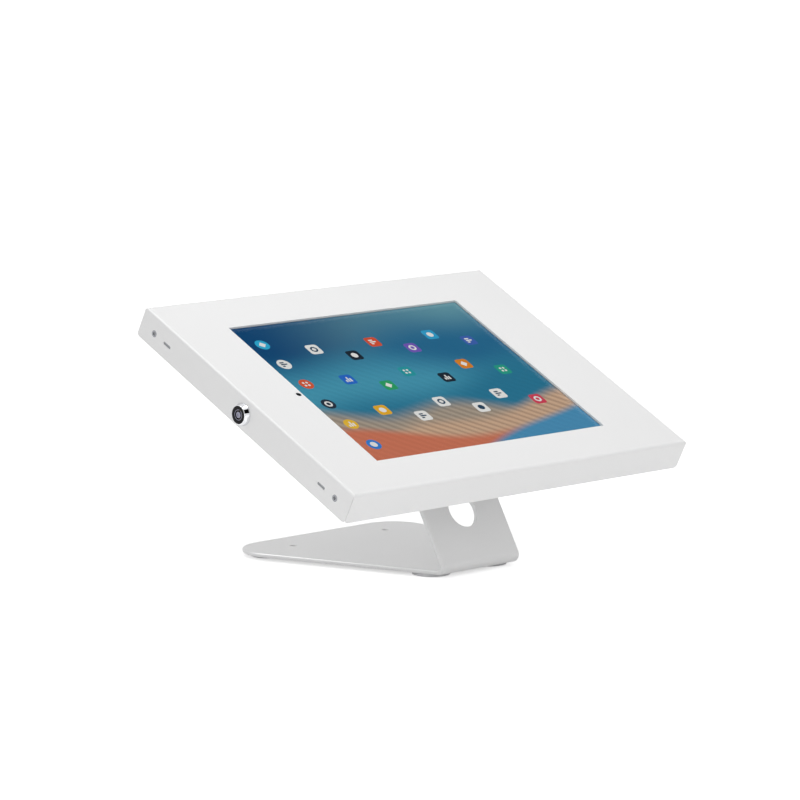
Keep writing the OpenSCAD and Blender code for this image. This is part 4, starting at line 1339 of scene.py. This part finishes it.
class KIOSK_OT_tablet(bpy.types.Operator):
    """Model the tablet: shell, coated glass, printed border, display and camera"""

    bl_idname = "kiosk.tablet"
    bl_label = "Tablet"

    def execute(self, context):
        sizes = context.scene.kiosk_tablet
        self.shell(sizes)
        self.glass(sizes)
        self.border(sizes)
        self.display(sizes)
        self.camera()
        return {"FINISHED"}

    def shell(self, sizes):
        """Back shell with rounded back edges and a pocket for the display."""
        low, high = reach("tablet_shell", PANEL)
        display_low, display_high = reach("tablet_display", PANEL)
        middle, radius, camera_foot = camera_place()[:3]
        shell = rounded_plate("tablet_alloy_shell", low, high, sizes.corner, segments=14)
        edit(shell)
        pick("EDGE", lambda edge: along(edge, 2, low.z))
        bpy.ops.mesh.bevel(offset=sizes.back_round, segments=8, affect="EDGES", clamp_overlap=False)
        done()
        pocket = block("pocket", display_low, display_high + OVER * UP)
        seat_hole = drill(radius, middle + high.z * UP, depth=2 * (high.z - camera_foot))
        cut(shell, pocket, seat_hole)
        soften(shell, EDGES["shell"])
        seat(shell, PANEL)
        dress(shell, "stand", "tablet_alloy", anodised_aluminium, "tablet_shell")

    def glass(self, sizes):
        """Front glass with softened edges."""
        low, high = reach("tablet_glass", PANEL)
        low.z += sizes.ink
        glass = rounded_plate("tablet_front_glass", low, high, sizes.corner, segments=14)
        soften(glass, sizes.glass_edge, segments=3)
        seat(glass, PANEL)
        dress(glass, "stand", "tablet_glass", coated_glass, "tablet_glass")

    def border(self, sizes):
        """Ink on the back of the glass around the display, with a clear spot for the camera."""
        low, high = reach("tablet_glass", PANEL)
        display_low, display_high = reach("tablet_display", PANEL)
        high.z = low.z + sizes.ink
        inset = Vector((0.2 * MM, 0.2 * MM, 0))
        ink = rounded_plate("tablet_border_ink", low + inset, high - inset, sizes.corner, segments=14)
        opening = block(
            "opening", (display_low.x, display_low.y, low.z - OVER),
            (display_high.x, display_high.y, high.z + OVER),
        )
        spot = drill(sizes.lens, camera_place()[0] + low.z * UP, depth=2 * MM, sides=48)
        cut(ink, opening, spot)
        tidy(ink)
        smooth(ink)
        seat(ink, PANEL)
        dress(ink, "stand", "tablet_glass", printed_border)

    def display(self, sizes):
        """Display panel, its lit face a little below the glass."""
        low, high = reach("tablet_display", PANEL)
        high.z -= sizes.display_drop
        panel = block("tablet_display_panel", low, high)
        soften(panel, EDGES["display"])
        seat(panel, PANEL)
        dress(panel, "stand", "display_panel", lit_picture, "tablet_display")

    def camera(self):
        """Camera: a stepped barrel with a domed lens."""
        middle, radius, foot, top = camera_place()
        top -= foot + 0.1 * MM
        step = 0.3 * MM
        dome = [(0.6 * radius * cos(a), top - step + step * sin(a)) for a in (0, 0.4, 0.8, 1.2)]
        profile = [
            (0, 0), (radius, 0), (radius, top), (0.8 * radius, top), (0.75 * radius, top - step),
            *dome, (0, top),
        ]
        camera = turned("tablet_camera_lens", profile, steps=48)
        soften(camera, EDGES["camera"])
        seat(camera, PANEL @ Matrix.Translation(middle + foot * UP))
        dress(camera, "stand", "camera_lens", lens_glass, "tablet_camera")


# Colours of the screen's tiles, column by column, of its buttons, and the signs that they bear
WHITE, NAVY = "F5F5F2", "2F4A63"
TILE_COLOURS = [
    WHITE, "2E6FD0", "F2B632", "23303C", "33A86C", WHITE, "E0583C", "2F9FA8", WHITE,
    "7A5FC0", "23303C", WHITE, "39A9D8", "E58A2E", WHITE, "4468B8", "2FA58C", "D9485E",
]
BUTTON_COLOURS = ["35B6E0", WHITE, "E0603F", "2C3A48", "F0C040", "3C84D8"]
SIGNS = ["ring", "bars", "disc", "diamond", "lines", "dots"]
# Places from the screen's middle: the first tile, the step to the next column and row, and the drop
# of every second column; then the first button and the step to the next
ROWS = 3
TILE_START = Vector((-50, 44, 0)) * MM
COLUMN_STEP, ROW_STEP, COLUMN_DROP = 25 * MM, 34 * MM, 11 * MM
BUTTON_START = Vector((-84, 55, 0)) * MM
BUTTON_STEP = 22 * MM
# Thickness of what the screen shows
PIXELS = 0.03 * MM


class KIOSK_OT_screen(bpy.types.Operator):
    """Lay out the tiles and round buttons that the display shows"""

    bl_idname = "kiosk.screen"
    bl_label = "Screen tiles"

    def execute(self, context):
        sizes = context.scene.kiosk_tablet
        low, high = reach("tablet_display", PANEL)
        middle = (low + high) / 2
        middle.z = high.z - sizes.display_drop
        parts = []
        for i, hex_colour in enumerate(TILE_COLOURS):
            column, row = divmod(i, ROWS)
            down = ROW_STEP * row + COLUMN_DROP * (column % 2)
            place = middle + TILE_START + Vector((COLUMN_STEP * column, -down, 0))
            sign = SIGNS[(2 * column + row) % len(SIGNS)]
            parts += self.tile(sizes, place, hex_colour, sign)
        for i, hex_colour in enumerate(BUTTON_COLOURS):
            place = middle + BUTTON_START - Vector((0, BUTTON_STEP * i, 0))
            sign = SIGNS[(i + 3) % len(SIGNS)]
            disc = self.disc(place, sizes.button)
            parts += self.with_sign(disc, hex_colour, sign, place, sizes.button)
        tiles = join(parts, "screen_tiles")
        seat(tiles, PANEL)
        dress(tiles, "stand", "display_panel", lit_pixels)
        return {"FINISHED"}

    def lit(self, part, hex_colour):
        """Stores a part's colour on its faces."""
        stored = part.data.color_attributes.new(name="lit", type="FLOAT_COLOR", domain="CORNER")
        for corner in stored.data:
            corner.color = linear(hex_colour)
        return part

    def tile(self, sizes, place, hex_colour, sign):
        """A round-cornered tile and its sign."""
        half = sizes.tile / 2
        plate = rounded_plate(
            "tile", place - Vector((half, half, 0)), place + Vector((half, half, PIXELS)),
            sizes.tile_corner, segments=6,
        )
        return self.with_sign(plate, hex_colour, sign, place, half)

    def with_sign(self, plate, hex_colour, sign, place, half):
        """A tile or button and the parts of its sign, each lit in its colour."""
        ink = NAVY if hex_colour == WHITE else WHITE
        parts = [self.lit(plate, hex_colour)]
        for part in self.sign(sign, place + PIXELS * UP, half):
            parts.append(self.lit(part, ink))
        return parts

    def disc(self, place, radius, sides=32):
        """A thin disc that stands on a place."""
        middle = place + PIXELS / 2 * UP
        disc = add("cylinder", "disc", vertices=sides, radius=radius, depth=PIXELS, location=middle)
        edit(disc)
        pick("EDGE", lambda edge: along(edge, 2, place.z + PIXELS))
        bpy.ops.mesh.bevel(offset=0.3 * PIXELS, segments=1, affect="EDGES")
        done()
        return disc

    def sign(self, kind, place, half):
        """A plain sign in the middle of a tile or button, in a few parts."""
        reach_out = 0.5 * half
        if kind == "disc":
            return [self.disc(place, reach_out)]
        if kind == "diamond":
            return [self.disc(place, 1.1 * reach_out, sides=4)]
        if kind == "ring":
            inner, outer = 0.6 * reach_out, 1.1 * reach_out
            profile = [(inner, 0), (outer, 0), (outer, PIXELS), (inner, PIXELS)]
            ring = turned("ring", profile, steps=32, ring=True)
            seat(ring, Matrix.Translation(place))
            return [ring]
        if kind == "dots":
            gap, dot = 0.55 * reach_out, 0.36 * reach_out
            return [self.disc(place + Vector((sx * gap, sy * gap, 0)), dot, 20) for sx, sy in CORNERS]
        bars = []
        for i, share in enumerate((0.9, 2.0, 1.4)):
            step, thick = 0.75 * reach_out * (i - 1), 0.24 * reach_out
            if kind == "bars":
                low = Vector((step - thick, -reach_out, 0))
                high = Vector((step + thick, reach_out * (share - 1), PIXELS))
            else:
                low = Vector((-reach_out, step - thick, 0))
                high = Vector((reach_out * (share - 1), step + thick, PIXELS))
            bars.append(rounded_plate("bar", place + low, place + high, 0.8 * thick, segments=4))
        return bars


# What holds the tablet


class KIOSK_OT_holders(bpy.types.Operator):
    """Mould the four corner holders"""

    bl_idname = "kiosk.holders"
    bl_label = "Corner holders"

    def execute(self, context):
        sizes = context.scene.kiosk_tablet
        glass_low, glass_high = reach("tablet_glass", PANEL)
        gap = Vector((sizes.holder_gap, sizes.holder_gap, 0))
        shell_z = reach("tablet_shell", PANEL)[0].z
        for end in ("front", "back"):
            for side in ("left", "right"):
                node = f"corner_holder_{end}_{side}"
                low, high = reach(node, PANEL)
                post = rounded_plate(f"moulded_{node}", low, high, sizes.holder_round, segments=8)
                room = rounded_plate(
                    "room", Vector((glass_low.x, glass_low.y, shell_z)) - gap,
                    glass_high + gap + OVER * UP, sizes.corner + sizes.holder_gap, segments=14,
                )
                cut(post, room)
                soften(post, EDGES["holder"], segments=3)
                seat(post, PANEL)
                dress(post, "stand", "holder_foam", moulded_holder, node)
        return {"FINISHED"}


class KIOSK_OT_soft_pieces(bpy.types.Operator):
    """Cut the foam pads behind the tablet, the felt around the window and the camera's seal, whose dark lining is
    painted shade in the camera hole
    """

    bl_idname = "kiosk.soft_pieces"
    bl_label = "Pads and felt"

    def execute(self, context):
        sizes = context.scene.kiosk_tablet
        sheet = context.scene.kiosk_sheet
        self.pads()
        self.felt(sheet.window_lap - sizes.felt_edge, sheet.camera_hole)
        self.camera_seal(sheet.camera_hole)
        return {"FINISHED"}

    def pads(self):
        """Four pads, bulged between the tray and the tablet that press them."""
        low, high = reach("back_pads", PANEL)
        middle = (low + high) / 2
        pad_w, pad_l, corner, bulge = 26 * MM, 60 * MM, 4 * MM, 0.8 * MM
        half = Vector((pad_w / 2 - bulge, pad_l / 2 - bulge, 0))
        thick, levels = high.z - low.z, 8
        pad = rounded_plate("pad_blank", -half, half + thick * UP, corner, segments=6)
        edit(pad)
        pick("EDGE", stands_up)
        bpy.ops.mesh.subdivide(number_cuts=levels - 1)
        for i in range(1, levels):
            swell = bulge * sin(pi * i / levels)
            pick("VERT", lambda vertex: abs(vertex.co.z - thick * i / levels) < NEAR)
            grow = (1 + swell / half.x, 1 + swell / half.y, 1)
            bpy.ops.transform.resize(value=grow, center_override=(0, 0, 0))
        done()
        soften(pad, EDGES["pad"], segments=3)
        out_x, out_y = high.x - middle.x - pad_w / 2, high.y - middle.y - pad_l / 2
        spaces = [
            PANEL @ Matrix.Translation((middle.x + sx * out_x, middle.y + sy * out_y, low.z))
            for sx, sy in CORNERS
        ]
        pads = repeat(pad, "foam_back_pads", spaces)
        dress(pads, "stand", "pad_foam", cellular_foam, "back_pads")

    def felt(self, lap, camera_hole):
        """A felt strip around the window, open at the camera."""
        low, high = reach("window_felt", PANEL)
        outer_corner, inner_corner, room = 1.5 * MM, 0.4 * MM, 0.3 * MM
        strip = rounded_plate("window_felt_strip", low, high, outer_corner, segments=4)
        picture_low, picture_high = reach("tablet_display", PANEL)
        opening = rounded_plate(
            "opening", (picture_low.x + lap, picture_low.y + lap, low.z - OVER),
            (picture_high.x - lap, picture_high.y - lap, high.z + OVER), inner_corner, segments=4,
        )
        middle = camera_place()[0] + low.z * UP
        hole = drill(camera_hole + room, middle, depth=4 * MM, sides=32)
        cut(strip, opening, hole)
        soften(strip, EDGES["felt"])
        seat(strip, PANEL)
        dress(strip, "cover", "white_felt", pressed_felt, "window_felt")

    def camera_seal(self, hole):
        """A dark foam ring whose neck lines the hole and keeps stray light from the camera; the dark neck is also
        painted shade, so that the hole reads black.
        """
        low, high = reach("window_felt", PANEL)
        outer, neck, inner, top = hole + 0.25 * MM, hole - 0.02 * MM, hole - 0.35 * MM, -0.1 * MM
        profile = [
            (inner, low.z), (outer, low.z), (outer, high.z), (neck, high.z), (neck, top), (inner, top),
        ]
        # The seal's dark neck darkens the hole's wall: painted shade for the hole's shadowed inside
        seal = turned("camera_light_seal", profile, steps=48, ring=True)
        soften(seal, EDGES["seal"])
        seat(seal, PANEL @ Matrix.Translation(camera_place()[0]))
        dress(seal, "cover", "pad_foam", cellular_foam)


# Fittings that keep the shape of their solids

FITTINGS = {
    zinc_plated_steel: [
        "stand_washers", "clinch_nuts", "lock_keeper", "keeper_rivets", "tray_hinge_front",
        "tray_hinge_back", "hinge_rivets", "hinge_pin_front", "hinge_pin_back", "lock_washer",
        "lock_nut", "lock_cam", "cam_screw",
    ],
    passivated_zinc: ["lock_rail", "hinge_rail"],
}


class KIOSK_OT_fittings(bpy.types.Operator):
    """Finish the small fittings that keep the shape of their solids"""

    bl_idname = "kiosk.fittings"
    bl_label = "Small fittings"

    def execute(self, context):
        for finish, nodes in FITTINGS.items():
            for node in nodes:
                for slot in frame["nodes"][node].material_slots:
                    slot.material = made_finish(finish)
        return {"FINISHED"}


# Stage

# The view: turn round the object, height above the horizon, roll, distance and aim
VIEW_AZIMUTH = radians(44.3114)
VIEW_ELEVATION = radians(8.5301)
VIEW_ROLL = radians(0.107)
VIEW_DISTANCE = 2533.986 * MM
VIEW_AIM = Vector((-10.746, -65.312, 99.238)) * MM
# Focal length and width of the film, in millimetres
LENS, FILM = 184.894, 36
# Light of the surround on the object, where white is 1, and of the floor as the camera sees it
SURROUND = 0.67
FLOOR_LIFT = 0.55
FLOOR_WIDTH = 12
# How far the camera sees
VIEW_END = 100


# Dark cards that only mirrors see, at a distance, where a surface would mirror the white surround:
# that surface's space, its direction there, and the card's width
CARD_OUT = 1.2
CARDS = {
    "screen_card": (PANEL, UP, 0.6),
    "lock_card": (LOCK, (0.7, -0.55, 0.45), 0.85),
    "low_lock_card": (LOCK, (0.42, -0.79, 0.45), 0.2),
}
# Soft lights: place, aim, width, watts, whether they show in gloss only, and the one piece they light
SOFTBOXES = {
    "top_softbox": ((0, -0.22, 0.75), (-0.02, -0.06, 0.1), 0.2, 1.6, False, None),
    "front_softbox": ((-1.2, -0.95, 0.25), (-0.02, -0.06, 0.1), 0.8, 2.2, False, None),
    "bend_softbox": ((-0.45, 0.2, 0.95), (-0.1, -0.06, 0.1), 0.25, 2.5, True, None),
    "edge_softbox": ((-0.7, 0.37, 0.64), (-0.05, 0, 0), 0.5, 22, True, "bent_stand_plate"),
}


def view_direction():
    """Direction from the object to the camera."""
    level = cos(VIEW_ELEVATION)
    return Vector((-sin(VIEW_AZIMUTH) * level, -cos(VIEW_AZIMUTH) * level, sin(VIEW_ELEVATION)))


class KIOSK_OT_stage(bpy.types.Operator):
    """Set the floor, the soft light and the camera"""

    bl_idname = "kiosk.stage"
    bl_label = "Stage"

    def execute(self, context):
        self.floor()
        self.surround(context.scene)
        for name, card in CARDS.items():
            self.dark_card(name, *card)
        for name, light in SOFTBOXES.items():
            self.softbox(name, *light)
        self.camera(context.scene)
        context.scene.view_settings.view_transform = "Standard"
        return {"FINISHED"}

    def floor(self):
        """A wide floor under the feet."""
        floor = add("plane", "floor", size=FLOOR_WIDTH, location=(0, 0, CAD_BOX[0][2]))
        floor.data.materials.append(made_finish(studio_floor))

    def dark_card(self, name, space, normal, size):
        """A dark card in the direction that a surface mirrors to the camera."""
        normal = (space.to_3x3() @ Vector(normal)).normalized()
        towards = view_direction()
        mirrored = 2 * normal.dot(towards) * normal - towards
        turn = mirrored.to_track_quat("Z", "Y").to_euler()
        place = space.translation + CARD_OUT * mirrored
        card = add("plane", name, size=size, location=place, rotation=turn)
        card.data.materials.append(made_finish(black_flock))
        card.visible_camera = card.visible_diffuse = card.visible_shadow = False

    def surround(self, scene):
        """An even surround: white to look at, softer as light."""
        world = bpy.data.worlds.new("white_surround")
        scene.world = world
        world.use_nodes = True
        tree = world.node_tree
        level = add_node(tree, "MapRange", {"Value": looked_at(tree), "To Min": SURROUND, "To Max": 1})
        background = tree.nodes["Background"]
        background.inputs["Color"].default_value = linear("FFFFFF")
        tree.links.new(level.outputs["Result"], background.inputs["Strength"])

    def softbox(self, name, place, aim, width, watts, gloss_only, piece):
        """A square soft light that faces a point."""
        bpy.ops.object.light_add(type="AREA", location=place)
        lamp = bpy.context.object
        lamp.name = name
        lamp.data.size = width
        lamp.data.energy = watts
        lamp.visible_camera = False
        lamp.visible_diffuse = not gloss_only
        lamp.rotation_euler = (Vector(aim) - Vector(place)).to_track_quat("-Z", "Y").to_euler()
        if piece:
            select_only(bpy.data.objects[piece])
            bpy.context.view_layer.objects.active = lamp
            bpy.ops.object.light_linking_receivers_link(link_state="INCLUDE")

    def camera(self, scene):
        """The camera at the photograph's view."""
        towards = view_direction()
        eye = VIEW_AIM + VIEW_DISTANCE * towards
        bpy.ops.object.camera_add(location=eye)
        camera = bpy.context.object
        look = (-towards).to_track_quat("-Z", "Y").to_matrix() @ Matrix.Rotation(VIEW_ROLL, 3, "Z")
        camera.rotation_euler = look.to_euler()
        camera.data.lens = LENS
        camera.data.sensor_width = FILM
        camera.data.clip_end = VIEW_END
        scene.camera = camera


OPERATORS = [
    KIOSK_OT_stand, KIOSK_OT_feet, KIOSK_OT_stand_screws, KIOSK_OT_cover, KIOSK_OT_tray,
    KIOSK_OT_security_screws, KIOSK_OT_lock, KIOSK_OT_tablet, KIOSK_OT_screen, KIOSK_OT_holders,
    KIOSK_OT_soft_pieces, KIOSK_OT_fittings, KIOSK_OT_stage,
]
PROPERTIES = {
    "kiosk_sheet": KioskSheetSizes,
    "kiosk_stand": KioskStandSizes,
    "kiosk_lock": KioskLockSizes,
    "kiosk_tablet": KioskTabletSizes,
    "kiosk_finishes": KioskFinishes,
}


class KIOSK_PT_sidebar(bpy.types.Panel):
    """Sidebar panel with the kiosk's pieces, sizes and colours"""

    bl_idname = "KIOSK_PT_sidebar"
    bl_label = "Tablet kiosk stand"
    bl_space_type = "VIEW_3D"
    bl_region_type = "UI"
    bl_category = "Kiosk"

    def draw(self, context):
        for operator in OPERATORS:
            self.layout.operator(operator.bl_idname)
        for name, group in PROPERTIES.items():
            box = self.layout.box()
            for size in group.__annotations__:
                box.prop(getattr(context.scene, name), size)


def register():
    for group in PROPERTIES.values():
        bpy.utils.register_class(group)
    for name, group in PROPERTIES.items():
        setattr(bpy.types.Scene, name, bpy.props.PointerProperty(type=group))
    for kind in OPERATORS + [KIOSK_PT_sidebar]:
        bpy.utils.register_class(kind)


def unregister():
    for kind in reversed(OPERATORS + [KIOSK_PT_sidebar]):
        bpy.utils.unregister_class(kind)
    for name, group in PROPERTIES.items():
        delattr(bpy.types.Scene, name)
        bpy.utils.unregister_class(group)


def main():
    register()
    for operator in OPERATORS:
        group, name = operator.bl_idname.split(".")
        getattr(getattr(bpy.ops, group), name)()


if __name__ == "__main__":
    main()
